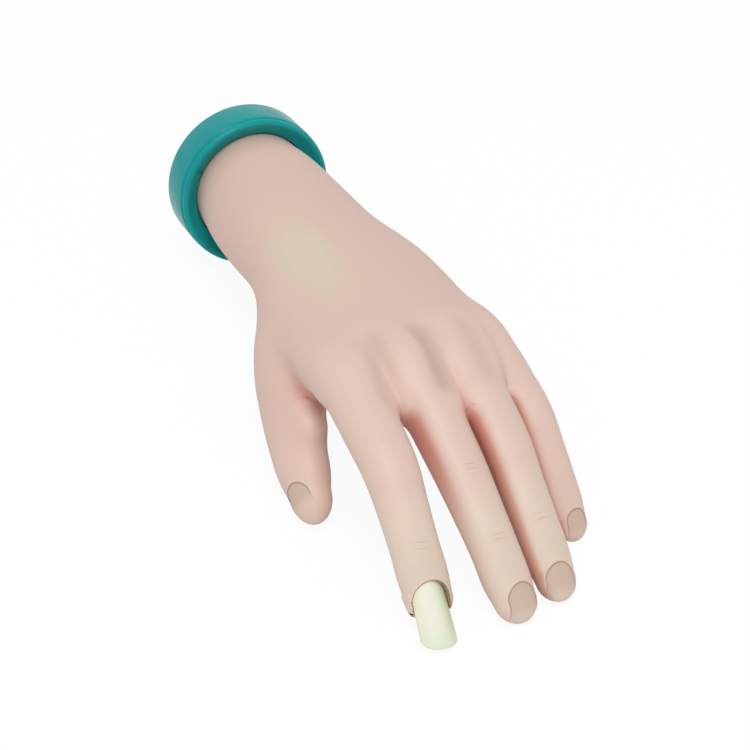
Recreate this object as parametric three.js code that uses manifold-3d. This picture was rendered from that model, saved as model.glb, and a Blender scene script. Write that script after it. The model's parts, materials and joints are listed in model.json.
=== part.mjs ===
import * as THREE from 'three';
import { mergeVertices } from 'three/addons/utils/BufferGeometryUtils.js';
import Module from 'manifold-3d';

// Left-handed nail practice hand with jointed fingers, lying palm down, in millimetres with +Z up.
// The fingers point to -Y and the thumb is on the -X side. It rests on its wrist collar and fingertips.
// Every bone frame has its joint at the origin, its bone along -Y, the back of the hand on +Z
// and its hinge along +X, so that a positive turn closes the hand. Angles are in degrees.

// Fits
const FIT_GAP = 0.3;          // between pieces that seat on each other
const JOINT_GAP = 0.7;        // between the skins of two bones, at their round joint
const PIN_GAP = 0.06;         // radial running clearance of a pin in its eye
const NAIL_GAP = 0.2;         // all round a nail in its slot

// Wrist collar and forearm
const COLLAR_RADIUS = 29.3;
const COLLAR_LENGTH = 16.9;
const COLLAR_WALL = 4.7;
const COLLAR_LIP = 1.5;       // radius of the rolled front lip
const COLLAR_GROOVE = 0.6;    // depth of the groove between the lip and the wall
const COLLAR_SLOPE = 1.6;     // that the mouth slopes in behind the lip, down to the skin
const COLLAR_EDGE = 0.7;      // rounding of the back edge
const FOREARM_LENGTH = 52.4;  // from the collar's front to the wrist
const FOREARM_PITCH = 5.2;
const SKIN_WALL = 3.6;        // round the foam core
const CORE_FRONT = 60;        // of the foam core, from the wrist

// Closing plug, its screw and the stem that the screw holds
const PLUG_FLOOR = 1.5;       // under the screw's head
const PLUG_SPIGOT = 9;
const PLUG_WALL = 3;
const SCREW_RADIUS = 1.9;
const SCREW_LENGTH = 13;
const SCREW_HEAD_RADIUS = 3.6;
const SCREW_HEAD_HEIGHT = 2.2;
const SCREW_SLOT_WIDTH = 0.8;
const SCREW_SLOT_DEPTH = 0.8;
const STEM_RADIUS = 5;
const STEM_DEPTH = 10;        // that the stem goes into its socket
const SOCKET_WALL = 3.2;
const SOCKET_LENGTH = 16;
const SOCKET_LEAD = 6;        // that the socket starts before the wrist

// Palm, set from the wrist
const PALM_PITCH = 9.1;
const PALM_ROLL = 3.9;
const PALM_YAW = -1.6;

// Palm plate, its outline set from the wrist, and the anchor links riveted to it
const PLATE = { back: 0, shoulder: 30, front: 57, left: -22, right: 25, neck: 9 };
const PLATE_THICKNESS = 2.4;
const PLATE_DROP = 0.7;       // of the plate's top face below the stem's bore
const STRAP_THICKNESS = 2;
const FOOT_RADIUS = 4.2;
const FOOT_RIM = 1;           // that a foot stands out round the seat of its rivet's head
const RIVET_RADIUS = 1.5;
const RIVET_HEAD_RADIUS = 2.5;
const RIVET_HEAD_HEIGHT = 0.8;

// Finger skeleton
const LINK_WIDTH = 5.6;
const LINK_HALF_HEIGHT = 2.2;
const EYE_WIDTH = 2.6;
const EYE_NECK = 0.8;         // that the narrow eye runs past the fork's round end
const FORK_RUN = 3;           // that the fork's slot runs past the eye's round end
const PIN_RADIUS = 1;
const PIN_HEAD_RADIUS = 1.7;
const PIN_HEAD_HEIGHT = 0.5;
const TIP_LINK_SHARE = 0.42;  // share of the last bone that its link fills

// Nails
const NAIL_THICKNESS = 0.9;
const NAIL_ARCH = 1.35;       // radius across the nail for each unit of its half width
const NAIL_SLOPE = 3;
const SLOT_DEPTH = 3;
const FOLD_THICKNESS = 0.9;   // of the skin over the slot
const TIP_LENGTH = 21;        // of the practice tip, from the fold
const TIP_TAPER = 0.3;        // that each side of the practice tip draws in
const TIP_BOW = 1.8;          // that its free edge rounds out

// Each finger: its knuckle from the wrist, its bones from the knuckle, how they are bent as it lies,
// and the half width and half depth of the skin at each joint. A section is [half width, up, down].
// A rivet stands a share of the way across the plate and so far behind the plate's front.
const FINGERS = {
  index: {
    knuckle: { side: -24, forward: 86, up: -1 }, splay: 0.3,
    bends: [23.5, 22.9, 11], bones: [40.8, 24.3, 23.3], root: 19,
    joints: [[9.6, 9], [8.8, 7.7], [7.9, 6.2]],
    middle: [[9.2, 8.2, 8.9], [8.3, 6.8, 7.5]], end: [[7.9, 5.3, 6.7], [6.9, 4.6, 5.5]],
    rivet: { across: 0.13, behind: 7, face: 'above' },
    ranges: [[-12, 25], [-23, 35], [-10, 25]], nail: { half: 5.7, start: 11.5 },
  },
  middle: {
    knuckle: { side: -4, forward: 88, up: 2 }, splay: 6,
    bends: [35.7, 4.8, 8.1], bones: [43.6, 26.5, 24.6], root: 23,
    joints: [[9, 8.8], [8.8, 7.8], [8, 6.4]],
    middle: [[8.7, 8.1, 8.8], [8.2, 6.9, 7.7]], end: [[8, 5.4, 7], [7.1, 4.7, 5.7]],
    rivet: { across: 0.36, behind: 6, face: 'above' },
    ranges: [[-12, 30], [-5, 40], [-8, 30]], nail: { half: 5.3, start: 12.5 },
  },
  ring: {
    knuckle: { side: 15, forward: 83, up: 1 }, splay: 3,
    bends: [30.3, 12.7, 5.1], bones: [42.3, 26.6, 25.6], root: 22.5,
    joints: [[8.6, 8.5], [8.3, 7.6], [7.6, 6.2]],
    middle: [[8.3, 7.8, 8.4], [7.7, 6.6, 7.4]], end: [[7.5, 5.3, 6.8], [6.7, 4.6, 5.6]],
    rivet: { across: 0.64, behind: 7, face: 'above' },
    ranges: [[-12, 30], [-12, 40], [-5, 30]], nail: { half: 5.1, start: 13.4 },
  },
  little: {
    knuckle: { side: 30, forward: 75, up: -4 }, splay: 5.6,
    bends: [25.9, 21.8, 7.3], bones: [35.2, 20.7, 22.7], root: 19.5,
    joints: [[7.4, 7.3], [7, 6.5], [6.4, 5.4]],
    middle: [[7.1, 6.8, 7.3], [6.5, 5.7, 6.2]], end: [[6.2, 4.8, 5.8], [5.4, 4.1, 4.9]],
    rivet: { across: 0.87, behind: 11, face: 'above' },
    ranges: [[-12, 30], [-20, 40], [-7, 30]], nail: { half: 4.4, start: 11.4 },
  },
};
const THUMB = {
  knuckle: { side: -31.2, forward: 48.9, up: -13.7 }, splay: -10.2, roll: -39.8,
  bends: [38.1, 1.4], bones: [30, 29], root: 10,
  joints: [[10.6, 10], [9.7, 8.4]],
  middle: [[10, 8.8, 9.4]], end: [[9, 6.8, 8], [7.6, 5.4, 6.4]],
  rivet: { across: 0.21, behind: 31, face: 'below' },
  ranges: [[-12, 22], [-10, 35]], nail: { half: 6, start: 13.5 },
};

// Sections of the forearm, by the share of its length, and of the palm, from the wrist
const FOREARM_SECTIONS = [
  { share: 0.14, size: [24.6, 24, 24] },
  { share: 0.48, size: [24.8, 21.5, 22] },
];
const PALM_SECTIONS = [
  { forward: 2, side: 0.5, up: 0, tip: 0, skew: 0, size: [26.4, 19, 19.5] },
  { forward: 26, side: 2.5, up: -1, tip: 2, skew: 0, size: [31, 16.5, 18] },
  { forward: 52, side: 1.5, up: -2, tip: 4, skew: 4, size: [33.5, 13.5, 15.5] },
  { forward: 76, side: 0.6, up: -3, tip: 12, skew: 8, size: [35, 11.5, 14] },
  { forward: 90, side: 0.5, up: -7, tip: 20, skew: 12, size: [34, 9, 11.5] },
  { forward: 100, side: -0.5, up: -13, tip: 26, skew: 14, size: [31, 6, 8.5] },
];
const LOBE = { back: 24, drop: -1, backSize: [8, 6, 8], swell: 1.02, pad: 1.15 };
const HEEL = { side: -10, forward: 12, up: -7, size: [14.5, 12, 13] };
const BALL = { share: 0.55, size: [13.5, 10.5, 13] };
const DOME = 0.5;             // that the end of a palm form rises at its middle

const FINISHES = {
  skin: { color: 0xdcc3b7, roughness: 0.55, metalness: 0 },
  collar: { color: 0x1a9490, roughness: 0.25, metalness: 0 },
  plug: { color: 0x1a9490, roughness: 0.4, metalness: 0 },
  steel: { color: 0xb9bcc0, roughness: 0.35, metalness: 1 },
  plate: { color: 0xe4e2da, roughness: 0.5, metalness: 0 },
  foam: { color: 0xd9d2b8, roughness: 0.9, metalness: 0 },
  tip: { color: 0xe1e3cf, roughness: 0.25, metalness: 0 },
};

// Fineness of the faceted surfaces
const HAND_SIDES = 20;
const CORE_SIDES = 14;
const FINGER_SIDES = 12;
const COLLAR_SIDES = 32;
const TURNED_SIDES = 16;
const FOOT_SIDES = 10;
const SMALL_SIDES = 8;
const FAR = 60;               // reach of a cutting tool that runs out of the part

const wasm = await Module();
wasm.setup();

const radians = THREE.MathUtils.degToRad;
const point = (x, y, z) => new THREE.Vector3(x, y, z);
const turnX = (angle) => new THREE.Matrix4().makeRotationX(radians(angle));
const turnZ = (angle) => new THREE.Matrix4().makeRotationZ(radians(angle));
const move = (x, y, z) => new THREE.Matrix4().makeTranslation(x, y, z);
const rotationOf = (frame) => new THREE.Matrix4().extractRotation(frame.matrixWorld);
const circumscribed = (radius, sides) => radius / Math.cos(Math.PI / sides);

// Solids
function solid(geometry) {
  const bare = geometry.clone();
  bare.deleteAttribute('normal');
  bare.deleteAttribute('uv');
  const merged = mergeVertices(bare, 1e-4);
  const vertProperties = new Float32Array(merged.attributes.position.array);
  const triVerts = new Uint32Array(merged.index.array);
  return new wasm.Manifold(new wasm.Mesh({ numProp: 3, vertProperties, triVerts }));
}

function geometryOf(manifold) {
  const mesh = manifold.getMesh();
  const geometry = new THREE.BufferGeometry();
  geometry.setAttribute('position', new THREE.BufferAttribute(mesh.vertProperties, 3));
  geometry.setIndex(new THREE.BufferAttribute(mesh.triVerts, 1));
  geometry.computeVertexNormals();
  return geometry;
}

function join(...geometries) {
  return geometryOf(geometries.map(solid).reduce((whole, next) => whole.add(next)));
}

function cut(geometry, ...tools) {
  return geometryOf(tools.map(solid).reduce((rest, tool) => rest.subtract(tool), solid(geometry)));
}

function common(geometry, other) {
  return geometryOf(solid(geometry).intersect(solid(other)));
}

function placed(geometry, matrix) {
  return geometry.clone().applyMatrix4(matrix);
}

function box(x0, x1, y0, y1, z0, z1) {
  const shape = new THREE.BoxGeometry(x1 - x0, y1 - y0, z1 - z0);
  return shape.translate((x0 + x1) / 2, (y0 + y1) / 2, (z0 + z1) / 2);
}

// A closed body through oval rings that stand across the Y axis, from high y to low y
function loft(rings, sides, startPole, endPole) {
  const positions = [];
  for (const ring of rings) {
    const [half, up, down] = ring.size;
    for (let i = 0; i < sides; i += 1) {
      const angle = (2 * Math.PI * i) / sides;
      const height = (Math.sin(angle) > 0 ? up : down) * Math.sin(angle);
      const corner = point(half * Math.cos(angle), 0, height).applyMatrix4(ring.turn ?? turnX(0));
      positions.push(...corner.add(ring.at).toArray());
    }
  }
  const start = positions.length / 3;
  positions.push(...startPole.toArray(), ...endPole.toArray());
  const index = [];
  for (let i = 0; i < sides; i += 1) {
    const next = (i + 1) % sides;
    index.push(start, next, i);
    for (let k = 0; k + 1 < rings.length; k += 1) {
      const [a, b] = [k * sides, (k + 1) * sides];
      index.push(a + i, a + next, b + next, a + i, b + next, b + i);
    }
    const last = (rings.length - 1) * sides;
    index.push(last + i, last + next, start + 1);
  }
  const geometry = new THREE.BufferGeometry();
  geometry.setAttribute('position', new THREE.Float32BufferAttribute(positions, 3));
  geometry.setIndex(index);
  return geometry;
}

// A side view in Y and Z, made as wide as said along X
const SIDE_VIEW = new THREE.Matrix4().makeBasis(point(0, 1, 0), point(0, 0, 1), point(1, 0, 0));
function sideSolid(shape, width) {
  const geometry = new THREE.ExtrudeGeometry(shape, { depth: width, bevelEnabled: false, curveSegments: 3 });
  return geometry.translate(0, 0, -width / 2).applyMatrix4(SIDE_VIEW);
}

function bar(fromY, toY, halfHeight, width) {
  const shape = new THREE.Shape();
  shape.absarc(fromY, 0, halfHeight, -Math.PI / 2, Math.PI / 2, false);
  shape.absarc(toY, 0, halfHeight, Math.PI / 2, (3 * Math.PI) / 2, false);
  return sideSolid(shape, width);
}

// A disc or rod that stands along Z
function upright(radius, height, sides, x = 0, y = 0, z = 0) {
  const rod = new THREE.CylinderGeometry(radius, radius, height, sides);
  return rod.rotateX(Math.PI / 2).translate(x, y, z);
}

// A pin or rivet with two heads, turned about the Y axis
function headedPin(radius, grip, headRadius, headHeight) {
  const top = grip / 2;
  const profile = [
    [0, -top - headHeight], [headRadius, -top - headHeight], [headRadius, -top], [radius, -top],
    [radius, top], [headRadius, top], [headRadius, top + headHeight], [0, top + headHeight],
  ];
  return new THREE.LatheGeometry(profile.map(([x, y]) => new THREE.Vector2(x, y)), SMALL_SIDES);
}

// Frames and pieces
const hand = new THREE.Group();

function frameIn(parent, position, turns = {}) {
  const frame = new THREE.Group();
  frame.position.copy(position);
  frame.rotation.order = 'ZXY';
  frame.rotation.set(radians(turns.x ?? 0), radians(turns.y ?? 0), radians(turns.z ?? 0));
  parent.add(frame);
  frame.updateWorldMatrix(true, false);
  return frame;
}

function piece(name, geometry, finish, parent) {
  const mesh = new THREE.Mesh(geometry, new THREE.MeshStandardMaterial(FINISHES[finish]));
  mesh.name = name;
  parent.add(mesh);
}

const wristDistance = COLLAR_LENGTH + FOREARM_LENGTH;
const collarCentre = point(0, 0, COLLAR_RADIUS * Math.cos(radians(FOREARM_PITCH)));
const arm = frameIn(hand, collarCentre, { x: -FOREARM_PITCH });
const wristPoint = arm.localToWorld(point(0, -wristDistance, 0));
const palm = frameIn(hand, wristPoint, { x: -PALM_PITCH, y: PALM_ROLL, z: PALM_YAW });
const worldToPalm = palm.matrixWorld.clone().invert();
const armToPalm = worldToPalm.clone().multiply(arm.matrixWorld);

// The frames of one finger: flat on the palm at its knuckle, then bent at each of its joints
function fingerFrames(finger) {
  const { side, forward, up } = finger.knuckle;
  const flat = frameIn(palm, point(side, -forward, up), { z: finger.splay });
  const knuckle = frameIn(flat, point(0, 0, 0), { x: finger.bends[0], y: finger.roll });
  const joints = [frameIn(knuckle, point(0, -finger.root, 0))];
  const lengths = [finger.bones[0] - finger.root, ...finger.bones.slice(1)];
  for (let k = 1; k < finger.bones.length; k += 1) {
    joints.push(frameIn(joints[k - 1], point(0, -lengths[k - 1], 0), { x: finger.bends[k] }));
  }
  return { flat, knuckle, joints, lengths };
}

const digits = Object.entries({ ...FINGERS, thumb: THUMB }).map(([name, finger]) => {
  return { name, finger, frames: fingerFrames(finger) };
});
const thumbFrames = digits[digits.length - 1].frames;

// Finger skeleton: links with an eye at one end and a fork at the other
const FORK_WIDTH = EYE_WIDTH + 2 * FIT_GAP;
const FORK_DEPTH = LINK_HALF_HEIGHT + FORK_RUN;
const EYE_REACH = LINK_HALF_HEIGHT + EYE_NECK;
const PIN_HOLE = circumscribed(PIN_RADIUS + PIN_GAP, SMALL_SIDES);
const PIN_GRIP = LINK_WIDTH + 2 * PIN_GAP;
const PIN_ROOM = PIN_GRIP + 2 * (PIN_HEAD_HEIGHT + FIT_GAP);

function pinHole(y) {
  const rod = new THREE.CylinderGeometry(PIN_HOLE, PIN_HOLE, LINK_WIDTH * 2, SMALL_SIDES);
  return rod.rotateZ(Math.PI / 2).translate(0, y, 0);
}

function forkSlot(y) {
  return box(-FORK_WIDTH / 2, FORK_WIDTH / 2, y - FAR, y + FORK_DEPTH, -FAR, FAR);
}

function eyeCheeks() {
  const cheek = box(EYE_WIDTH / 2, FAR, -EYE_REACH, FAR, -FAR, FAR);
  return [cheek, placed(cheek, new THREE.Matrix4().makeRotationY(Math.PI))];
}

function link(length, isLast) {
  const body = bar(0, -length, LINK_HALF_HEIGHT, LINK_WIDTH);
  const forkEnd = isLast ? [] : [forkSlot(-length), pinHole(-length)];
  return cut(body, ...eyeCheeks(), pinHole(0), ...forkEnd);
}

function hingePin() {
  return headedPin(PIN_RADIUS, PIN_GRIP, PIN_HEAD_RADIUS, PIN_HEAD_HEIGHT).rotateZ(Math.PI / 2);
}

// Skin of one bone: a round end at its joint, then oval sections
const ROUND_END = [62, 34];
const ROUND_TIP = [35, 65];
function boneSkin(length, atJoint, sections) {
  const [half, depth] = atJoint;
  const rings = [];
  for (const lift of ROUND_END) {
    const shrink = Math.cos(radians(lift));
    const size = [half * shrink, depth * shrink, depth * shrink];
    rings.push({ at: point(0, depth * Math.sin(radians(lift)), 0), size });
  }
  rings.push({ at: point(0, 0, 0), size: [half, depth, depth] });
  for (const { from, size } of sections) rings.push({ at: point(0, -from, 0), size });
  return loft(rings, FINGER_SIDES, point(0, depth, 0), point(0, -length, 0));
}

function tipSections(finger, length) {
  const [nailPart, end] = finger.end;
  const cap = end[0];
  const sections = [{ from: length / 2, size: nailPart }, { from: length - cap, size: end }];
  for (const lift of ROUND_TIP) {
    const size = end.map((half) => half * Math.cos(radians(lift)));
    sections.push({ from: length - cap + cap * Math.sin(radians(lift)), size });
  }
  return sections;
}

// A side view of the room that a straight strip takes as it turns about the joint between two angles.
// Angles are counted from +Y, towards +Z.
const BACK_STEPS = 4;
function sweptStrip(halfHeight, from, to, width) {
  const corners = [];
  const add = (angle, along, across) => {
    const [c, s] = [Math.cos(radians(angle)), Math.sin(radians(angle))];
    corners.push(new THREE.Vector2(along * c - across * s, along * s + across * c));
  };
  add(from, FAR / 2, -halfHeight);
  add((from + to) / 2, FAR / 2 + halfHeight, 0);
  add(to, FAR / 2, halfHeight);
  const back = 180 - (to - from);
  for (let k = 0; k <= BACK_STEPS; k += 1) add(to + (back * k) / BACK_STEPS, 0, halfHeight);
  return sideSolid(new THREE.Shape(corners), width);
}

// The room that a bone's round end and its skin need in the skin before it, over the whole range
function jointRoom([half, depth], [low, high]) {
  const ball = new THREE.SphereGeometry(1, CORE_SIDES, SMALL_SIDES).rotateZ(Math.PI / 2);
  ball.scale(half + JOINT_GAP, depth + JOINT_GAP, depth + JOINT_GAP);
  return [ball, sweptStrip(depth + JOINT_GAP, 180 + low, 180 + high, 2 * (half + JOINT_GAP))];
}

// The room inside a bone's round end for the fork before it, over the whole range
function forkRoom(bend, [low, high]) {
  return sweptStrip(LINK_HALF_HEIGHT + 2 * FIT_GAP, -bend - high, -bend - low, PIN_ROOM);
}

// The straight room for a link along a bone
function linkRoom(length) {
  const halfHeight = LINK_HALF_HEIGHT + FIT_GAP;
  return box(-PIN_ROOM / 2, PIN_ROOM / 2, -length, 0, -halfHeight, halfHeight);
}

// Nails, in a frame whose origin is the crown of the nail at its fold, with the nail along -Y
function nailFrame(finger) {
  const last = finger.joints.length - 1;
  const { start } = finger.nail;
  const atJoint = finger.joints[last][1];
  const atMiddle = finger.end[0][1];
  const surface = THREE.MathUtils.lerp(atJoint, atMiddle, (2 * start) / finger.bones[last]);
  return move(0, -start, surface - FOLD_THICKNESS - NAIL_GAP).multiply(turnX(NAIL_SLOPE));
}

const nailRadius = (finger) => finger.nail.half * NAIL_ARCH;

// A bent sheet between two radii about the nail's own axis, from one distance to another
function nailArc(radius, inner, outer, half, fromY, toY) {
  const spread = Math.asin(half / radius);
  const shape = new THREE.Shape();
  shape.absarc(0, 0, outer, Math.PI / 2 - spread, Math.PI / 2 + spread, false);
  shape.absarc(0, 0, inner, Math.PI / 2 + spread, Math.PI / 2 - spread, true);
  const options = { depth: fromY - toY, bevelEnabled: false, curveSegments: 4 };
  const geometry = new THREE.ExtrudeGeometry(shape, options);
  return geometry.translate(0, 0, -fromY).rotateX(Math.PI / 2).translate(0, 0, -radius);
}

// The outline of a nail from above: a round root, then sides that may draw in to a bowed free edge
function nailOutline(half, root, length, taper, bow) {
  const shape = new THREE.Shape();
  shape.moveTo(half, -half);
  shape.absellipse(0, -half, half, half + root, 0, Math.PI, false);
  shape.lineTo(-half + taper, bow - length);
  shape.quadraticCurveTo(-half / 2, -length, 0, -length);
  shape.quadraticCurveTo(half / 2, -length, half - taper, bow - length);
  const options = { depth: FAR, bevelEnabled: false, curveSegments: 4 };
  return new THREE.ExtrudeGeometry(shape, options).translate(0, 0, -FAR / 2);
}

function nailBedTools(finger) {
  const radius = nailRadius(finger);
  const half = finger.nail.half + NAIL_GAP;
  const inner = radius - NAIL_THICKNESS - NAIL_GAP;
  const slotDepth = SLOT_DEPTH + NAIL_GAP;
  const slot = common(
    nailArc(radius, inner, radius + NAIL_GAP, half, slotDepth, -FAR / 2),
    nailOutline(half, slotDepth, FAR, 0, 0),
  );
  const bed = common(
    nailArc(radius, inner, radius + FAR / 4, half, 0, -FAR / 2),
    nailOutline(half, 0, FAR, 0, 0),
  );
  return [slot, bed].map((tool) => placed(tool, nailFrame(finger)));
}

function practiceTip(finger) {
  const radius = nailRadius(finger);
  const { half } = finger.nail;
  const sheet = nailArc(radius, radius - NAIL_THICKNESS, radius, half, SLOT_DEPTH, -TIP_LENGTH);
  const tip = common(sheet, nailOutline(half, SLOT_DEPTH, TIP_LENGTH, TIP_TAPER, TIP_BOW));
  return placed(tip, nailFrame(finger));
}

// One finger or the thumb from its root joint outwards
const LINK_NAMES = { 3: ['long', 'middle', 'tip'], 2: ['long', 'tip'] };
const PIN_NAMES = { 3: ['root', 'knuckle', 'tip_joint'], 2: ['root', 'tip_joint'] };
const SKIN_NAMES = { 3: ['root', 'middle', 'tip'], 2: ['root', 'tip'] };

function lastSkin(finger, length, linkLength) {
  const k = finger.joints.length - 1;
  const tools = [forkRoom(finger.bends[k], finger.ranges[k]), linkRoom(linkLength + LINK_HALF_HEIGHT + FIT_GAP)];
  return cut(boneSkin(length, finger.joints[k], tipSections(finger, length)), ...tools, ...nailBedTools(finger));
}

function innerSkin(finger, k, length) {
  const [half, depth] = finger.joints[k + 1];
  const sections = [
    { from: length / 2, size: finger.middle[k] }, { from: length, size: [half, depth, depth] },
  ];
  const next = move(0, -length, 0).multiply(turnX(finger.bends[k + 1]));
  const room = jointRoom(finger.joints[k + 1], finger.ranges[k + 1]).map((tool) => placed(tool, next));
  const bend = k === 0 ? 0 : finger.bends[k];
  const tools = [forkRoom(bend, finger.ranges[k]), linkRoom(length + FAR / 4), ...room];
  return cut(boneSkin(length, finger.joints[k], sections), ...tools);
}

for (const { name, finger, frames } of digits) {
  const count = finger.joints.length;
  frames.joints.forEach((frame, k) => {
    const isLast = k === count - 1;
    const length = frames.lengths[k];
    const linkLength = isLast ? length * TIP_LINK_SHARE : length;
    const skin = isLast ? lastSkin(finger, length, linkLength) : innerSkin(finger, k, length);
    piece(`${name}_${SKIN_NAMES[count][k]}_skin`, skin, 'skin', frame);
    piece(`${name}_${LINK_NAMES[count][k]}_link`, link(linkLength, isLast), 'steel', frame);
    piece(`${name}_${PIN_NAMES[count][k]}_pin`, hingePin(), 'steel', frame);
  });
}
piece('index_practice_tip', practiceTip(FINGERS.index), 'tip', digits[0].frames.joints[2]);

// Palm plate: it widens from the wrist to the fingers, with a socket for the stem
const STEM_BORE = STEM_RADIUS + FIT_GAP;
const SOCKET_BACK = wristDistance - SOCKET_LEAD;
const STEM_END = SOCKET_BACK + STEM_DEPTH;
const PLATE_TOP = -(STEM_BORE + PLATE_DROP);
const PLATE_BOTTOM = PLATE_TOP - PLATE_THICKNESS;

function plateSlab(grow) {
  const { back, shoulder, front, left, right, neck } = PLATE;
  const corners = [
    [-neck - grow, -back + grow], [left - grow, -shoulder + grow], [left - grow, -front - grow],
    [right + grow, -front - grow], [right + grow, -shoulder + grow], [neck + grow, -back + grow],
  ];
  const shape = new THREE.Shape(corners.map(([x, y]) => new THREE.Vector2(x, y)));
  const depth = PLATE_THICKNESS + 2 * grow;
  return new THREE.ExtrudeGeometry(shape, { depth, bevelEnabled: false })
    .translate(0, 0, PLATE_BOTTOM - grow);
}

// A round bar along the forearm between two distances from the back of the collar
function forearmRod(radius, from, to, sides) {
  return new THREE.CylinderGeometry(radius, radius, to - from, sides).translate(0, -(from + to) / 2, 0);
}

function stemSocket(grow) {
  const end = SOCKET_BACK + SOCKET_LENGTH + grow;
  const rod = forearmRod(STEM_BORE + SOCKET_WALL + grow, SOCKET_BACK - grow, end, TURNED_SIDES);
  return placed(rod, armToPalm);
}

// Anchor links: a fork on the finger's line, a strap and a foot riveted to the plate
const RIVET_HOLE = circumscribed(RIVET_RADIUS + PIN_GAP, SMALL_SIDES);
const RIVET_STACK = PLATE_THICKNESS + FIT_GAP + STRAP_THICKNESS;
const RIVET_GRIP = RIVET_STACK + 2 * PIN_GAP;
const RIVET_CENTRE = { above: PLATE_BOTTOM + RIVET_STACK / 2, below: PLATE_TOP - RIVET_STACK / 2 };
const FOOT_CENTRE = {
  above: PLATE_TOP + FIT_GAP + STRAP_THICKNESS / 2,
  below: PLATE_BOTTOM - FIT_GAP - STRAP_THICKNESS / 2,
};

function rivetPoint({ across, behind, face }, heights = RIVET_CENTRE) {
  return point(THREE.MathUtils.lerp(PLATE.left, PLATE.right, across), behind - PLATE.front, heights[face]);
}

function strap(from, to, width, height) {
  const aim = new THREE.Matrix4().lookAt(from, to, point(0, 0, 1));
  aim.setPosition(from.clone().lerp(to, 0.5));
  return new THREE.BoxGeometry(width, height, from.distanceTo(to)).applyMatrix4(aim);
}

function anchorSolids(finger, frames, grow) {
  const toPalm = worldToPalm.clone().multiply(frames.knuckle.matrixWorld);
  const foot = rivetPoint(finger.rivet, FOOT_CENTRE);
  const knee = point(0, 0, 0).applyMatrix4(toPalm);
  const bone = bar(0, -finger.root - grow * FAR, LINK_HALF_HEIGHT + grow, grow ? PIN_ROOM : LINK_WIDTH);
  return [
    placed(bone, toPalm),
    strap(knee, foot, LINK_WIDTH + 2 * grow, STRAP_THICKNESS + 2 * grow),
    upright(FOOT_RADIUS + grow, STRAP_THICKNESS + 2 * grow, FOOT_SIDES, ...foot.toArray()),
  ];
}

function anchorLink(finger, frames) {
  const toRoot = worldToPalm.clone().multiply(frames.joints[0].matrixWorld);
  const fork = [forkSlot(0), pinHole(0)].map((tool) => placed(tool, toRoot));
  const [x, y, z] = rivetPoint(finger.rivet).toArray();
  const hole = upright(RIVET_HOLE, RIVET_GRIP * 2, SMALL_SIDES, x, y, z);
  const headSeats = [1, -1].map((way) => {
    const height = z + (way * (RIVET_STACK + FAR)) / 2;
    return upright(FOOT_RADIUS - FOOT_RIM, FAR, FOOT_SIDES, x, y, height);
  });
  return cut(join(...anchorSolids(finger, frames, 0)), ...fork, hole, ...headSeats, plateSlab(FIT_GAP));
}

function anchorRivet(finger) {
  return headedPin(RIVET_RADIUS, RIVET_GRIP, RIVET_HEAD_RADIUS, RIVET_HEAD_HEIGHT)
    .rotateX(Math.PI / 2).translate(...rivetPoint(finger.rivet).toArray());
}

function rivetRoom(finger) {
  const height = RIVET_GRIP + 2 * (RIVET_HEAD_HEIGHT + FIT_GAP);
  return upright(RIVET_HEAD_RADIUS + FIT_GAP, height, SMALL_SIDES, ...rivetPoint(finger.rivet).toArray());
}

function palmPlate() {
  const bore = placed(forearmRod(STEM_BORE, SOCKET_BACK - FAR, STEM_END + FIT_GAP, TURNED_SIDES), armToPalm);
  const holes = digits.map(({ finger }) => {
    return upright(RIVET_HOLE, RIVET_GRIP * 2, SMALL_SIDES, ...rivetPoint(finger.rivet).toArray());
  });
  return cut(join(plateSlab(0), stemSocket(0)), bore, ...holes);
}

for (const { name, finger, frames } of digits) {
  piece(`${name}_anchor_link`, anchorLink(finger, frames), 'steel', palm);
  piece(`${name}_anchor_rivet`, anchorRivet(finger), 'steel', palm);
}
piece('palm_plate', palmPlate(), 'plate', palm);

// Everything inside the palm, with its clearance
const frameRooms = [
  plateSlab(FIT_GAP), stemSocket(FIT_GAP),
  ...digits.flatMap(({ finger, frames }) => [...anchorSolids(finger, frames, FIT_GAP), rivetRoom(finger)]),
].map((room) => placed(room, palm.matrixWorld));

// Stem, closing plug, its screw and the collar, turned about the forearm's axis
const BORE_RADIUS = COLLAR_RADIUS - COLLAR_WALL;
const SKIN_RADIUS = BORE_RADIUS - FIT_GAP;
const SPIGOT_RADIUS = (SKIN_RADIUS - SKIN_WALL) * Math.cos(Math.PI / CORE_SIDES) - FIT_GAP;
const SCREW_RECESS = FIT_GAP + SCREW_HEAD_HEIGHT;
const PLUG_THICKNESS = SCREW_RECESS + PLUG_FLOOR;
const PLUG_REACH = PLUG_THICKNESS + PLUG_SPIGOT;

// A turned ring or disc from its outline, given as radius and distance from the collar's back
function turned(outline, sides) {
  return new THREE.LatheGeometry(outline.map(([radius, from]) => new THREE.Vector2(radius, -from)), sides);
}

function stem() {
  const rod = forearmRod(STEM_RADIUS, PLUG_THICKNESS + FIT_GAP, STEM_END, TURNED_SIDES);
  const pilot = circumscribed(SCREW_RADIUS + PIN_GAP, TURNED_SIDES);
  return cut(rod, forearmRod(pilot, 0, SCREW_RECESS + SCREW_LENGTH + FIT_GAP, TURNED_SIDES));
}
piece('wrist_stem', stem(), 'steel', arm);

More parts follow.
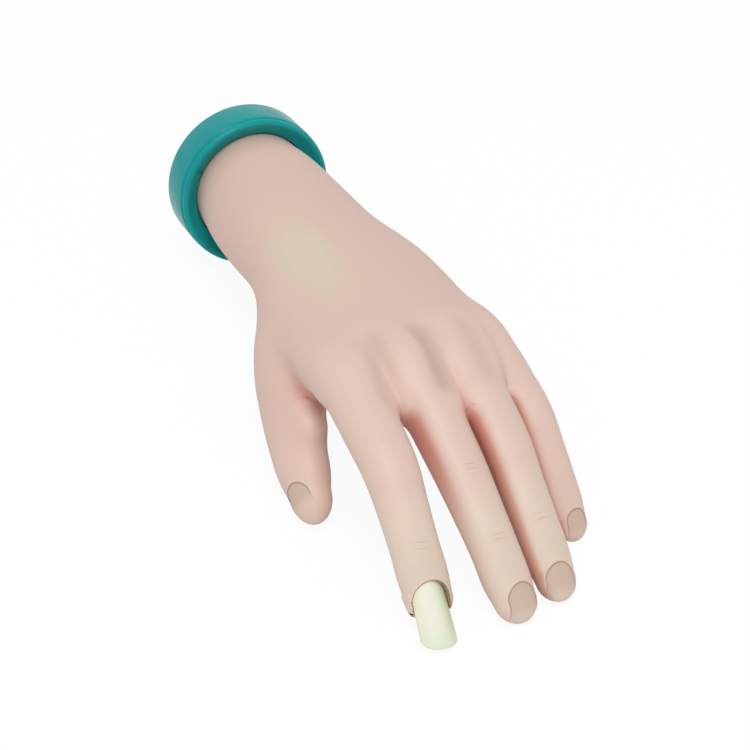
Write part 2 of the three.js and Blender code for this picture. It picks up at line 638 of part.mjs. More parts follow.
function basePlug() {
  const hole = SCREW_RADIUS + FIT_GAP;
  const head = SCREW_HEAD_RADIUS + FIT_GAP;
  const boss = STEM_BORE + PLUG_WALL;
  const inside = SPIGOT_RADIUS - PLUG_WALL;
  return turned([
    [head, 0], [head, SCREW_RECESS], [hole, SCREW_RECESS], [hole, PLUG_THICKNESS],
    [STEM_BORE, PLUG_THICKNESS], [STEM_BORE, PLUG_REACH], [boss, PLUG_REACH], [boss, PLUG_THICKNESS],
    [inside, PLUG_THICKNESS], [inside, PLUG_REACH], [SPIGOT_RADIUS, PLUG_REACH],
    [SPIGOT_RADIUS, PLUG_THICKNESS], [SKIN_RADIUS, PLUG_THICKNESS], [SKIN_RADIUS, 0], [head, 0],
  ], TURNED_SIDES);
}
piece('base_plug', basePlug(), 'plug', arm);

function baseScrew() {
  const end = SCREW_RECESS + SCREW_LENGTH;
  const body = turned([
    [0, end], [SCREW_RADIUS, end], [SCREW_RADIUS, SCREW_RECESS - FIT_GAP],
    [SCREW_HEAD_RADIUS, SCREW_RECESS - FIT_GAP], [SCREW_HEAD_RADIUS, 0], [0, 0],
  ], TURNED_SIDES);
  const halfSlot = SCREW_SLOT_WIDTH / 2;
  return cut(body, box(-FAR, FAR, -SCREW_SLOT_DEPTH, FAR, -halfSlot, halfSlot));
}
piece('base_screw', baseScrew(), 'steel', arm);

function collar() {
  const lipBack = COLLAR_LENGTH - COLLAR_LIP;
  const outline = [[BORE_RADIUS, 0], [BORE_RADIUS, lipBack - COLLAR_SLOPE]];
  for (let angle = -60; angle <= 120; angle += 30) {
    const [out, forward] = [Math.sin(radians(angle)), Math.cos(radians(angle))];
    outline.push([COLLAR_RADIUS - COLLAR_LIP * (1 - out), lipBack + COLLAR_LIP * forward]);
  }
  const grooveFrom = lipBack - COLLAR_LIP;
  outline.push([COLLAR_RADIUS - COLLAR_GROOVE, grooveFrom], [COLLAR_RADIUS, grooveFrom - COLLAR_GROOVE]);
  outline.push([COLLAR_RADIUS, COLLAR_EDGE], [COLLAR_RADIUS - COLLAR_EDGE, 0], outline[0]);
  return turned(outline, COLLAR_SIDES);
}
piece('wrist_collar', collar(), 'collar', arm);

// Forearm and palm as one body, drawn in by an inset, up to the first section past the front
function handLoft(inset, back, front, sides) {
  const rings = [];
  const addRing = (at, turn, size) => rings.push({ at, turn, size: size.map((half) => half - inset) });
  const armTurn = rotationOf(arm);
  const mouth = Array(3).fill(SKIN_RADIUS);
  addRing(arm.localToWorld(point(0, -back, 0)), armTurn, mouth);
  addRing(arm.localToWorld(point(0, -COLLAR_LENGTH - FIT_GAP, 0)), armTurn, mouth);
  for (const { share, size } of FOREARM_SECTIONS) {
    addRing(arm.localToWorld(point(0, -COLLAR_LENGTH - share * FOREARM_LENGTH, 0)), armTurn, size);
  }
  const used = PALM_SECTIONS.filter((section, k) => k === 0 || PALM_SECTIONS[k - 1].forward < front);
  for (const { forward, side, up, tip, skew, size } of used) {
    const turn = rotationOf(palm).multiply(turnZ(skew)).multiply(turnX(tip));
    addRing(palm.localToWorld(point(side, -forward, up)), turn, size);
  }
  const last = rings[rings.length - 1].at;
  return loft(rings, sides, rings[0].at, last.clone().add(point(0, -DOME, 0)));
}

// The swelling over a knuckle, from the back of the hand to the finger's root joint
function knuckleLobe(finger, frames) {
  const [half, depth] = finger.joints[0];
  const flat = rotationOf(frames.flat);
  const root = frames.joints[0].localToWorld(point(0, 0, 0));
  const rings = [
    { at: frames.flat.localToWorld(point(0, LOBE.back, LOBE.drop)), turn: flat, size: LOBE.backSize },
    {
      at: frames.flat.localToWorld(point(0, 0, 0)),
      turn: flat.clone().multiply(turnX(finger.bends[0] / 2)),
      size: [half * LOBE.swell, depth, depth * LOBE.pad],
    },
    { at: root, turn: rotationOf(frames.knuckle), size: [half, depth, depth] },
  ];
  return loft(rings, FINGER_SIDES, rings[0].at, root.clone().add(point(0, -DOME, 0)));
}

// The ball of the thumb, from the heel of the palm to the thumb's root joint
function thumbMound() {
  const turn = rotationOf(thumbFrames.knuckle);
  const heel = palm.localToWorld(point(HEEL.side, -HEEL.forward, HEEL.up));
  const knuckle = thumbFrames.knuckle.localToWorld(point(0, 0, 0));
  const root = thumbFrames.joints[0].localToWorld(point(0, 0, 0));
  const [half, depth] = THUMB.joints[0];
  const rings = [
    { at: heel, turn, size: HEEL.size },
    { at: heel.clone().lerp(knuckle, BALL.share), turn, size: BALL.size },
    { at: knuckle, turn, size: [half, depth, depth * LOBE.pad] },
    { at: root, turn, size: [half, depth, depth] },
  ];
  return loft(rings, CORE_SIDES, heel, root.clone().add(point(0, -DOME, 0)));
}

// The hollow of the skin, or the foam core in it, from a distance behind the collar's front
function coreBody(inset, back) {
  const front = placed(box(-FAR, FAR, -CORE_FRONT, 2 * FAR, -FAR, FAR), palm.matrixWorld);
  const loftBack = Math.min(back, PLUG_THICKNESS);
  const body = common(handLoft(inset, loftBack, CORE_FRONT, CORE_SIDES), front);
  return cut(body, placed(forearmRod(COLLAR_RADIUS, loftBack - FAR, back, CORE_SIDES), arm.matrixWorld));
}

function palmSkin() {
  const whole = handLoft(0, PLUG_THICKNESS + FIT_GAP, Infinity, HAND_SIDES);
  const lobes = digits.slice(0, -1).map(({ finger, frames }) => knuckleLobe(finger, frames));
  const tools = [coreBody(SKIN_WALL, 0), ...frameRooms];
  for (const { finger, frames } of digits) {
    const room = jointRoom(finger.joints[0], finger.ranges[0]);
    tools.push(...room.map((tool) => placed(tool, frames.joints[0].matrixWorld)));
  }
  return cut(join(whole, ...lobes, thumbMound()), ...tools);
}
piece('palm_skin', palmSkin(), 'skin', hand);

function palmFoam() {
  const stemRoom = forearmRod(STEM_RADIUS + 2 * FIT_GAP, 0, STEM_END, CORE_SIDES);
  const tools = [placed(stemRoom, arm.matrixWorld), ...frameRooms];
  return cut(coreBody(SKIN_WALL + FIT_GAP, PLUG_REACH + FIT_GAP), ...tools);
}
piece('palm_foam', palmFoam(), 'foam', hand);

// The origin is below the middle of the model, on the surface that it rests on
const extent = new THREE.Box3().setFromObject(hand, true);
const centre = extent.getCenter(point(0, 0, 0));
hand.position.set(-centre.x, -centre.y, -extent.min.z);

const model = new THREE.Group();
model.add(hand);

export default model;
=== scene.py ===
"""A nail practice hand: a soft vinyl hand that lies palm down in a teal wrist collar, with a
jointed steel frame inside and a milky practice tip in the slot of its index finger.
Sizes are in millimetres in the hand's own frame: fingers along -Y, back of the hand up, floor
at 0."""
import json

import bmesh
import bpy
import numpy as np
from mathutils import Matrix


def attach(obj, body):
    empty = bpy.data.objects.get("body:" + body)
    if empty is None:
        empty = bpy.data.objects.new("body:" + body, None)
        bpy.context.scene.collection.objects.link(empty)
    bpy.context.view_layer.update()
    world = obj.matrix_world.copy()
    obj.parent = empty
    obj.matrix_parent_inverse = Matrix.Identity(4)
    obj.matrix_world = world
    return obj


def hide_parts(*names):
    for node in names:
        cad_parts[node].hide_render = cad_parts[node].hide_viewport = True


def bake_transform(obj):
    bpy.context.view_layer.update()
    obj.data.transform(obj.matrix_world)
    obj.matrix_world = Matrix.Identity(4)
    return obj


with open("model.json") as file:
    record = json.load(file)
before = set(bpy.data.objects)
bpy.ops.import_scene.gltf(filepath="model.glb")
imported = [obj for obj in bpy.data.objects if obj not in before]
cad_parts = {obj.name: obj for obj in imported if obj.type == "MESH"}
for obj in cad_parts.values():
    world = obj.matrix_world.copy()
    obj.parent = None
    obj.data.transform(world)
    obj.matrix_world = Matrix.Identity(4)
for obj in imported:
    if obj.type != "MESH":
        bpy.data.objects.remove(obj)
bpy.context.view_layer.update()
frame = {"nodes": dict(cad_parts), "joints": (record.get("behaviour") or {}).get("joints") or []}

import openvdb
from mathutils import Matrix, Vector

F = np.float32

# ---------------------------------------------------------------- measures
COLLAR_RADIUS, COLLAR_LENGTH, COLLAR_WALL = 29.3, 16.9, 4.7
ROLL_RADIUS, ROLL_IN = 1.3, 1.5   # the collar's rolled front lip, and how far in its middle lies
MOUTH_RADIUS = 22.9         # of the collar's mouth, where the skin comes out
FOREARM_LENGTH, FOREARM_PITCH = 52.4, 5.2
SKIN_BACK = 4.4             # where the wrist skin starts, behind the collar's mouth
SKIN_CELL, QUICK_CELL = 0.7, 1.1   # spacing of the skin's points
REACH, FAR = 14, 60         # a limb's form is worked out to REACH round it, and is FAR beyond that
THUMB_BLEND, FINGER_BLEND, WEB_BLEND = 8.5, 8, 9   # how softly each runs into the palm
# neighbouring fingers part between these two distances from their knuckles: where they touch, each
# then stays FINGER_GAP from the middle between them, with edges rounded over GAP_ROUND
PARTING, FINGER_GAP, GAP_ROUND, GAP_CLOSED = (21, 28), 0.5, 1.5, 12

NAIL_THICKNESS, NAIL_ARCH, NAIL_SLOPE, NAIL_GAP, FOLD_THICKNESS = 0.9, 1.35, 3, 0.2, 0.9
NAIL_SIDE, NAIL_FADE = -6.5, (-7, -4)   # how far under the nail's top its outline still counts
TIP_LENGTH, TIP_ROUNDED = 21, 6         # the practice tip, and the part that its free edge rounds
SLOT_DEPTH, SLOT_PLAY = 3, 0.12
BED_DEPTH, BED_EDGE, BED_FADE = 0.32, (-0.15, 0.5), 8   # a moulded bed, its edge and its soft end
BED_PAST = 0.5              # how far a nail bed runs past its last bone
RIM_HEIGHT, RIM_WIDTH = 0.12, 0.5       # of the rim that stands round a bed
# the lip of skin along the index slot: its radius, how far it lies under the tip's arch, how far it
# falls and where, how far it may stand out of the finger, and where it starts and ends
LIP_RADIUS, LIP_UNDER, LIP_FALL, LIP_FALLS = 0.9, 0.2, 1.4, (6, 12)
LIP_WALL, LIP_PROUD, LIP_START, LIP_END, LIP_BLEND = 3, 0.4, 3, 9.3, 1.2

# Each digit: its knuckle from the wrist (side, forward, up), its bones and how they lie bent, its
# nail (half width, start on the last bone, surface there, tilt to the side, shift to the side,
# turn), its moulded creases, how far its tip leans over, its skin (distance from the knuckle, half
# width, height, depth), where its pieces part and where each joint's fold starts and ends.
DIGITS = {
    "index": dict(
        knuckle=(-24, 86, -1), splay=0.3, roll=0, bends=(23.5, 22.9, 11), bones=(40.8, 24.3, 24.1),
        creases=(65.6,), lean=1, nail=(5.9, 11.5, 5.31, 7, -0.4, 4.5), cap=7.6,
        skin=[(-24, 8, 3.5, 7), (0, 9.6, 7.8, 10.5), (20, 9.4, 8.2, 9.6), (40.8, 8.9, 7.4, 7.8),
              (53, 8.2, 6.5, 7.3), (65.1, 7.9, 5.8, 6.4), (76, 8, 5.2, 6.6), (81, 7.5, 4.7, 5.6)],
        cuts=(22.5, 33.5, 51), folds=((23, 33), (35, 48), (57.5, 71))),
    "middle": dict(
        knuckle=(-4, 88, 2), splay=6, roll=0, bends=(35.7, 4.8, 8.1), bones=(43.6, 26.5, 24.6),
        creases=(44.8, 68.2), lean=0.6, nail=(4.8, 12.8, 5.38, 14, 0.2, 2), cap=7.8,
        skin=[(-24, 8, 3.5, 7), (0, 9.6, 7.8, 10.5), (22, 9.2, 8.4, 9.8), (43.6, 8.9, 7.6, 8),
              (57, 8.3, 6.7, 7.6), (70.1, 8, 6, 6.6), (82, 7.8, 5.3, 6.9), (87, 7, 4.8, 5.8)],
        cuts=(28, 38.5, 54), folds=((28.5, 38), (39.5, 50.5), (62, 76))),
    "ring": dict(
        knuckle=(15, 83, 1), splay=3, roll=0, bends=(30.3, 12.7, 5.1), bones=(42.3, 26.6, 25.6),
        creases=(68.3,), lean=0.6, nail=(4.5, 14, 5.26, 13, -0.4, 1), cap=7.6,
        skin=[(-24, 8, 3.5, 7), (0, 9.1, 7.6, 10), (22, 8.8, 8, 9.4), (42.3, 8.5, 7.4, 7.8),
              (55.5, 7.8, 6.5, 7.4), (68.9, 7.6, 5.8, 6.4), (81.5, 7.4, 5.2, 6.7),
              (86.9, 6.6, 4.7, 5.7)],
        cuts=(29, 38, 53), folds=((29.5, 37.5), (39, 49.5), (61, 75))),
    "little": dict(
        knuckle=(30, 75, -4), splay=5.6, roll=0, bends=(25.9, 21.8, 7.3), bones=(35.2, 20.7, 22.7),
        creases=(), lean=0.3, nail=(3.6, 12.6, 4.7, 13, 0, 2), cap=6.6,
        skin=[(-22, 5.2, 3, 6), (0, 5.9, 6.8, 9.2), (18, 7.2, 7, 8.4), (35.2, 7.1, 6.4, 6.8),
              (45.5, 6.6, 5.7, 6.3), (55.9, 6.4, 5.1, 5.7), (66.5, 6.2, 4.7, 5.8),
              (72, 5.5, 4.2, 5)],
        cuts=(26.5, 32.5, 44), folds=((27, 32.3), (33, 42), (50, 61.5))),
    "thumb": dict(
        knuckle=(-31.2, 48.9, -13.7), splay=-10.2, roll=-39.8, bends=(38.1, 1.4), bones=(30, 29),
        creases=(), lean=1.5, nail=(4.7, 15.5, 5.8, 2, -1.5, 13), bed_past=-3, cap=10,
        skin=[(-18, 10.6, 11, 13.5), (0, 9.7, 9.6, 11), (10, 10.1, 9.2, 10.2), (30, 9.6, 8, 8.6),
              (42, 8.7, 7, 8.2), (49, 7, 5.6, 6.6)],
        cuts=(20.5, 29), folds=((21, 28.5), (30, 40))),
}
PIECES = {2: ("root", "tip"), 3: ("root", "middle", "tip")}   # by the number of bones
# where the pink starts on the side that faces the index, which is partly airbrushed pink and partly
# painted shade and a painted warm glow between the fingers, how much it fades on the way to the
# tip, and how squarely the skin has to face the index to have it
SIDE_PINK_AND_SHADE = {"middle": (18, 0.75, (0.4, 0.9)), "ring": (18, 0.25, (0.32, 0.85)),
              "little": (14, 0.25, (0.32, 0.85))}


# ---------------------------------------------------------------- the hand's frames
def turn(axis, degrees):
    c, s = np.cos(np.radians(degrees)), np.sin(np.radians(degrees))
    m = np.eye(4)
    i, j = [(1, 2), (2, 0), (0, 1)][axis]
    m[i, i], m[i, j], m[j, i], m[j, j] = c, -s, s, c
    return m


def frame_in(parent, at, x=0, y=0, z=0):
    m = np.eye(4)
    m[:3, 3] = at
    return parent @ m @ turn(2, z) @ turn(0, x) @ turn(1, y)


def on(place, *at):
    return place[:3, :3] @ np.array(at, float) + place[:3, 3]


def inside(place, points):
    """points as the frame sees them: across, towards the wrist, up"""
    return (points - place[:3, 3].astype(F)) @ place[:3, :3].astype(F)


AXIS_HEIGHT = COLLAR_RADIUS * np.cos(np.radians(FOREARM_PITCH))
ARM = frame_in(np.eye(4), (0, 0, AXIS_HEIGHT), x=-FOREARM_PITCH)
WRIST = on(ARM, 0, -COLLAR_LENGTH - FOREARM_LENGTH, 0)
PALM = frame_in(np.eye(4), WRIST, x=-9.1, y=3.9, z=-1.6)
for digit in DIGITS.values():
    side, forward, up = digit["knuckle"]
    digit["flat"] = frame_in(PALM, (side, -forward, up), z=digit["splay"])
    digit["frames"] = [frame_in(digit["flat"], (0, 0, 0), x=digit["bends"][0], y=digit["roll"])]
    for bone, bend in zip(digit["bones"], digit["bends"][1:]):
        digit["frames"].append(frame_in(digit["frames"][-1], (0, -bone, 0), x=bend))
    digit["joints"] = [on(f, 0, 0, 0) for f in digit["frames"]]
    digit["end"] = on(digit["frames"][-1], 0, -digit["bones"][-1], 0)
    half, start, surface, tilt, shift, turned_by = digit["nail"]
    tilted = frame_in(digit["frames"][-1], (0, 0, 0), y=tilt)
    seat = (shift, -start, surface - FOLD_THICKNESS - NAIL_GAP)
    digit["nail_frame"] = frame_in(tilted, seat, x=NAIL_SLOPE, z=turned_by)


def along(digit, distance):
    """the point of the digit's line at a distance from its knuckle"""
    for place, bone in zip(digit["frames"], digit["bones"]):
        if distance <= bone:
            break
        distance -= bone
    return on(place, 0, -distance, 0)


# the row frame's place is found from the index finger's first hinge, which lies at its web line
WEB_LINE = 19
index_hinge = next(j for j in frame["joints"] if j["name"] == "index_root_hinge")
SHIFT = np.array(index_hinge["pos_m"]) * 1000 - along(DIGITS["index"], WEB_LINE)


def in_row(point):
    """a point of the hand's frame, in metres in the row frame"""
    return (np.asarray(point, float) + SHIFT) / 1000


# ---------------------------------------------------------------- the skin's form
# as a distance from its surface, less than 0 inside
def smooth_min(a, b, k):
    """the lesser of two forms, blended over k"""
    k = F(k)
    h = np.maximum(k - np.abs(a - b), 0) / k
    return np.minimum(a, b) - h * h * k / 4


def smooth_step(x, low, high):
    """0 up to low, 1 from high, and a smooth rise between them"""
    t = np.clip((x - low) / (high - low), 0, 1)
    return t * t * (3 - 2 * t)


def through(xs, ys, x):
    """a smooth curve through the stations"""
    m = np.gradient(ys, xs) if len(xs) > 2 else np.full(2, (ys[1] - ys[0]) / (xs[1] - xs[0]))
    x = np.clip(x, xs[0], xs[-1])
    i = np.clip(np.searchsorted(xs, x, side="right") - 1, 0, len(xs) - 2)
    h = xs[i + 1] - xs[i]
    t = (x - xs[i]) / h
    return ((2 * t**3 - 3 * t**2 + 1) * ys[i] + (t**3 - 2 * t**2 + t) * h * m[i]
            + (3 * t**2 - 2 * t**3) * ys[i + 1] + (t**3 - t**2) * h * m[i + 1])


def rounded(points, radius, steps=6):
    """the line with its corners rounded, over less than half of the shorter side"""
    out = [points[0]]
    for a, b, c in zip(points[:-2], points[1:-1], points[2:]):
        la, lc = np.linalg.norm(a - b), np.linalg.norm(c - b)
        p = b + (a - b) / la * min(radius, la * 0.45)
        q = b + (c - b) / lc * min(radius, lc * 0.45)
        out += [(1 - t)**2 * p + 2 * t * (1 - t) * b + t * t * q
                for t in np.linspace(0, 1, steps + 1)]
    return np.array(out + [points[-1]])


class Limb:
    """an oval section carried along a line: each station gives a distance, half width, height and
    depth"""

    def __init__(self, points, up, stations, caps, radius=7, start=0):
        self.points = rounded([np.asarray(p, float) for p in points], radius)
        steps = np.diff(self.points, axis=0)
        self.lengths = np.linalg.norm(steps, axis=1)
        self.ways = steps / self.lengths[:, None]
        self.starts = np.concatenate([[0], np.cumsum(self.lengths)]) + start
        self.stations, self.caps = np.array(stations, float).T, caps
        side = np.cross(self.ways, up)
        self.sides = side / np.linalg.norm(side, axis=1)[:, None]
        self.backs = np.cross(self.sides, self.ways)
        reach = self.stations[1:].max() + REACH
        self.low, self.high = self.points.min(0) - reach, self.points.max(0) + reach

    def __call__(self, points):
        out = np.full(len(points), FAR, F)
        near = np.where(((points > self.low) & (points < self.high)).all(1))[0]
        if len(near) == 0:
            return out
        x = points[near]
        best = np.full(len(x), 1e9, F)
        arc, over, across, above = (np.zeros(len(x), F) for _ in range(4))
        last = len(self.lengths) - 1
        for k in range(last + 1):
            d = x - self.points[k].astype(F)
            run = d @ self.ways[k].astype(F)
            held = np.clip(run, 0, self.lengths[k])
            rest = d - np.outer(held, self.ways[k]).astype(F)
            far = (rest * rest).sum(1)
            m = far < best
            # past the line's ends the section closes in a cap
            if k == 0:
                past = np.minimum(run, 0)
            elif k == last:
                past = np.maximum(run - held, 0)
            else:
                past = np.zeros(len(x))
            best[m], arc[m], over[m] = far[m], self.starts[k] + held[m], past[m]
            across[m] = (rest @ self.sides[k].astype(F))[m]
            above[m] = (rest @ self.backs[k].astype(F))[m]
        at, half, high, deep = self.stations
        w = through(at, half, arc)
        h = np.where(above > 0, through(at, high, arc), through(at, deep, arc))
        cap = np.where(over < 0, self.caps[0], self.caps[1])
        k0 = np.sqrt((across / w)**2 + (above / h)**2 + (over / cap)**2)
        k1 = np.sqrt((across / w**2)**2 + (above / h**2)**2 + (over / cap**2)**2) + 1e-9
        out[near] = np.where(k0 < 1e-3, -np.minimum(w, h), k0 * (k0 - 1) / k1)
        return out


def digit_limb(name, digit):
    joints, cap = digit["joints"], digit["cap"]
    aim = digit["end"] - joints[-1]
    tip = digit["end"] - aim / np.linalg.norm(aim) * cap
    tip = tip + digit["frames"][-1][:3, 0] * digit["lean"]
    stations = list(digit["skin"])
    if name == "thumb":
        # the thumb's mound starts deep in the palm
        heel = on(PALM, -9.5, -17, -7.5)
        first = -np.linalg.norm(heel - joints[0])
        stations.insert(0, (first, 13, 12, 14))
    else:
        first = stations[0][0]
        heel = on(digit["flat"], 0, -first, -4)
    corner = 9 if name == "thumb" else 7
    back = digit["frames"][0][:3, 2]
    return Limb([heel, *joints, tip], back, stations, (8, cap), corner, first)


def palm_limb():
    """the forearm and the palm, which also bows and sinks: distance, side, up, then the section"""
    arm = [(2, 22.5, 22.5, 22.5), (14, 22.5, 22.5, 22.5), (28, 24.1, 23, 23.6),
           (46, 25.6, 21.5, 22)]
    palm = [(2, 0.3, 0, 27.1, 18.9, 19.4), (26, 2.2, -1, 31.5, 16.2, 18),
            (50, 1.1, -2, 33.2, 13.6, 15.8), (72, 0.4, -3.5, 33.2, 11.3, 14.2),
            (86, 0, -6.5, 31.3, 9.7, 12)]
    points = [on(ARM, 0, -s[0], 0) for s in arm] + [on(PALM, p[1], -p[0], p[2]) for p in palm]
    steps = np.linalg.norm(np.diff(points, axis=0), axis=1)
    lengths = np.concatenate([[0], np.cumsum(steps)])
    sizes = [s[1:] for s in arm] + [p[3:] for p in palm]
    stations = [(length, *size) for length, size in zip(lengths, sizes)]
    return Limb(points, PALM[:3, 2], stations, (1, 9), 7)


def finger_web(a, b, reach_a, reach_b, half, cap):
    """the flesh between two fingers, to a little short of the crotch"""
    first, second = DIGITS[a], DIGITS[b]
    root, depth = 26, 6   # where it starts behind the knuckles, and how deep
    middle = (first["joints"][0] + second["joints"][0]) / 2 - PALM[:3, 2] * 2.5
    end = (on(first["frames"][0], 0, -reach_a + cap, -1)
           + on(second["frames"][0], 0, -reach_b + cap, -1)) / 2
    back = (on(first["flat"], 0, root, -depth) + on(second["flat"], 0, root, -depth)) / 2
    total = np.linalg.norm(middle - back) + np.linalg.norm(end - middle)
    stations = [(0, half, 5, 9), (total, half, 5.2, 7.5)]
    return Limb([back, middle, end], PALM[:3, 2], stations, (8, cap))


def thumb_web():
    """the flesh from the palm's middle along the thumb's side"""
    line = [(-12, -26, -6), (-26, -50, -11), (-30, -65, -16.5), (-31.5, -77, -23)]
    stations = [(0, 10, 9, 9), (28, 8, 6, 8), (44, 6, 4.5, 7), (57, 4.2, 3.8, 5)]
    return Limb([on(PALM, *at) for at in line], PALM[:3, 2], stations, (8, 5))


BODY = palm_limb()
WEBS = [finger_web("index", "middle", 20, 20, 6.5, 6),
        finger_web("middle", "ring", 26, 26, 6, 6),
        finger_web("ring", "little", 24, 22, 6, 6), thumb_web()]
NEIGHBOURS = (("index", "middle"), ("middle", "ring"), ("ring", "little"))
LIMBS = {name: digit_limb(name, digit) for name, digit in DIGITS.items()}


# the soft valleys between the knuckles: start, end and depth
VALLEYS = [((-15.5, -150, 57.5), (-19, -172, 51.5), 1.2),
           ((1, -152, 57.5), (0.5, -173, 50.5), 1.9),
           ((16.5, -153, 56), (16, -172, 48.5), 1)]
VALLEY_SPREAD = 20          # in square millimetres
PALE_PATCH, PALE_PATCH_SIZE = (-13.5, -95, 54), (12, 30, 14)   # on the back of the hand


def valley(points, start, end, depth):
    start, way = np.array(start, F), np.subtract(end, start).astype(F)
    d = points - start
    run = np.clip(d @ way / (way @ way), 0, 1)
    rest = d - run[:, None] * way
    return depth * np.exp(-(rest * rest).sum(1) / VALLEY_SPREAD)


def nail_edge(digit, points):
    """how far outside the nail's outline a point is, how far it is from the nail's root towards the
    fingertip, and where it is in the nail's frame"""
    half = digit["nail"][0]
    x = inside(digit["nail_frame"], points)
    run = -x[:, 1]
    return np.sqrt(x[:, 0]**2 + np.maximum(half - run, 0)**2) - half, run, x


def bed_length(digit):
    """how far the nail bed runs before it fades into the fingertip, which is sooner in the thumb"""
    return digit["bones"][-1] - digit["nail"][1] + digit.get("bed_past", BED_PAST)


def with_nail_bed(name, digit, points, skin):
    """the skin with its nail bed sunk in, or in the index with the practice tip's slot cut out"""
    from_end = ((points - digit["end"].astype(F))**2).sum(1)
    near = np.where((np.abs(skin) < 6) & (from_end < 30**2))[0]
    if len(near) == 0:
        return skin
    edge, run, x = nail_edge(digit, points[near])
    half = digit["nail"][0]
    out = skin.copy()
    if name != "index":
        length = bed_length(digit)
        fade = 1 - smooth_step(run, length - BED_FADE, length)
        rim = RIM_HEIGHT * np.exp(-((edge - RIM_WIDTH) / RIM_WIDTH)**2)
        sunk = BED_DEPTH * smooth_step(-edge, *BED_EDGE) - rim
        out[near] += sunk * fade * smooth_step(x[:, 2], *NAIL_FADE)
        return out
    radius = half * NAIL_ARCH
    # a soft lip of skin stands along the slot's edge, close to the finger's own form: it rises out
    # of the skin past the slot's root, falls towards the fingertip and ends before it
    arch = np.sqrt(radius**2 - np.minimum(np.abs(x[:, 0]), half)**2) - radius
    lip_height = arch - LIP_UNDER - LIP_FALL * smooth_step(run, *LIP_FALLS)
    above_lip = x[:, 2] - np.clip(x[:, 2], lip_height - LIP_WALL, lip_height)
    past_end = np.maximum(run - LIP_END, 0)
    lip = np.sqrt((edge - LIP_RADIUS)**2 + above_lip**2 + past_end**2) - LIP_RADIUS
    lip = np.maximum(lip, out[near] - LIP_PROUD) + 3 * (1 - smooth_step(run, 0, LIP_START))
    out[near] = smooth_min(out[near], lip, LIP_BLEND)
    # the slot takes what lies over the bed and inside the nail's outline
    bed_radius = radius - NAIL_THICKNESS - NAIL_GAP
    over_bed = np.sqrt(x[:, 0]**2 + (x[:, 2] + radius)**2) - bed_radius
    seat = np.maximum(edge - SLOT_PLAY, -over_bed)
    hollow = np.where(x[:, 2] > -radius, seat, FAR)
    out[near] = -smooth_min(-out[near], hollow, 0.3)
    return out


def hand(points):
    """the whole skin's form: its distance from the surface, less than 0 inside"""
    flesh = BODY(points)
    for web in WEBS:
        flesh = smooth_min(flesh, web(points), WEB_BLEND)
    limbs = {name: with_nail_bed(name, digit, points, LIMBS[name](points))
             for name, digit in DIGITS.items()}
    flesh = smooth_min(flesh, limbs.pop("thumb"), THUMB_BLEND)
    # between the knuckles the fingers run into each other softly, and past the webs sharply
    forward = -inside(PALM, points)[:, 1]
    soft = 0.3 + 3.7 * (1 - smooth_step(forward, 84, 108))
    # past their web, neighbours that touch keep a thin gap between them
    for a, b in NEIGHBOURS:
        run = sum(-inside(DIGITS[name]["frames"][0], points)[:, 1] for name in (a, b)) / 2
        gap = FINGER_GAP - GAP_CLOSED * (1 - smooth_step(run, *PARTING))
        apart = (limbs[a] - limbs[b]) / 2
        limbs[a] = -smooth_min(-limbs[a], -apart - gap, GAP_ROUND)
        limbs[b] = -smooth_min(-limbs[b], apart - gap, GAP_ROUND)
    fingers = limbs.pop("index")
    for limb in limbs.values():
        fingers = smooth_min(fingers, limb, soft)
    return smooth_min(flesh, fingers, FINGER_BLEND) + sum(valley(points, *v) for v in VALLEYS)


def slope(points, step=0.12):
    """the form's value and its outward direction"""
    here = hand(points)
    rise = np.stack([hand(points + axis * F(step)) - here for axis in np.eye(3, dtype=F)], 1)
    return here, rise / F(step)


def skin_surface(cell):
    """points, quads and outward directions of the whole skin. The form is worked out in blocks of 8
    cells, then of 2 and 1 in the blocks that the surface may cross"""
    limbs = [BODY, *LIMBS.values()]
    margin, under_floor = 28, 2
    low = np.min([limb.points.min(0) for limb in limbs], 0) - margin
    high = np.max([limb.points.max(0) for limb in limbs], 0) + margin
    low[2] = -under_floor
    shape = (np.ceil((high - low) / cell / 8).astype(int)) * 8
    starts = np.meshgrid(*[np.arange(4, n, 8) for n in shape], indexing="ij")
    index = np.stack(starts, -1).reshape(-1, 3)
    half_diagonal, steepness = 0.87, 1.7   # of a block, and of the form against a true distance
    field = np.zeros(shape, F)
    for size, finer in ((8, 2), (2, 1), (1, 0)):
        value = hand((low + index * cell - (size % 2 == 0) * cell / 2).astype(F))
        corner = index - size // 2
        span = np.arange(size)
        where = [corner[:, k, None, None, None]
                 + span.reshape([-1 if j == k else 1 for j in range(3)]) for k in range(3)]
        field[where[0], where[1], where[2]] = value[:, None, None, None]
        if finer:
            near = size * cell * half_diagonal * steepness + 1.5 * cell
            kept = corner[np.abs(value) < near]
            steps = np.meshgrid(*[np.arange(finer // 2, size, finer)] * 3, indexing="ij")
            index = (kept[:, None] + np.stack(steps, -1).reshape(-1, 3)[None]).reshape(-1, 3)
    grid = openvdb.FloatGrid()
    grid.copyFromArray(field)
    points, quads = grid.convertToQuads(isovalue=0)
    points = (low + np.array(points) * cell).astype(F)
    # each point is set back on the form along its slope
    for _ in range(2):
        value, rise = slope(points)
        step = value / np.maximum((rise * rise).sum(1), 0.3)
        points = points - rise * step[:, None].astype(F)
    value, rise = slope(points)
    return points, np.array(quads), rise / np.linalg.norm(rise, axis=1)[:, None]


# ---------------------------------------------------------------- meshes
def in_scene(name, data):
    piece = bpy.data.objects.new(name, data)
    bpy.context.scene.collection.objects.link(piece)
    return piece


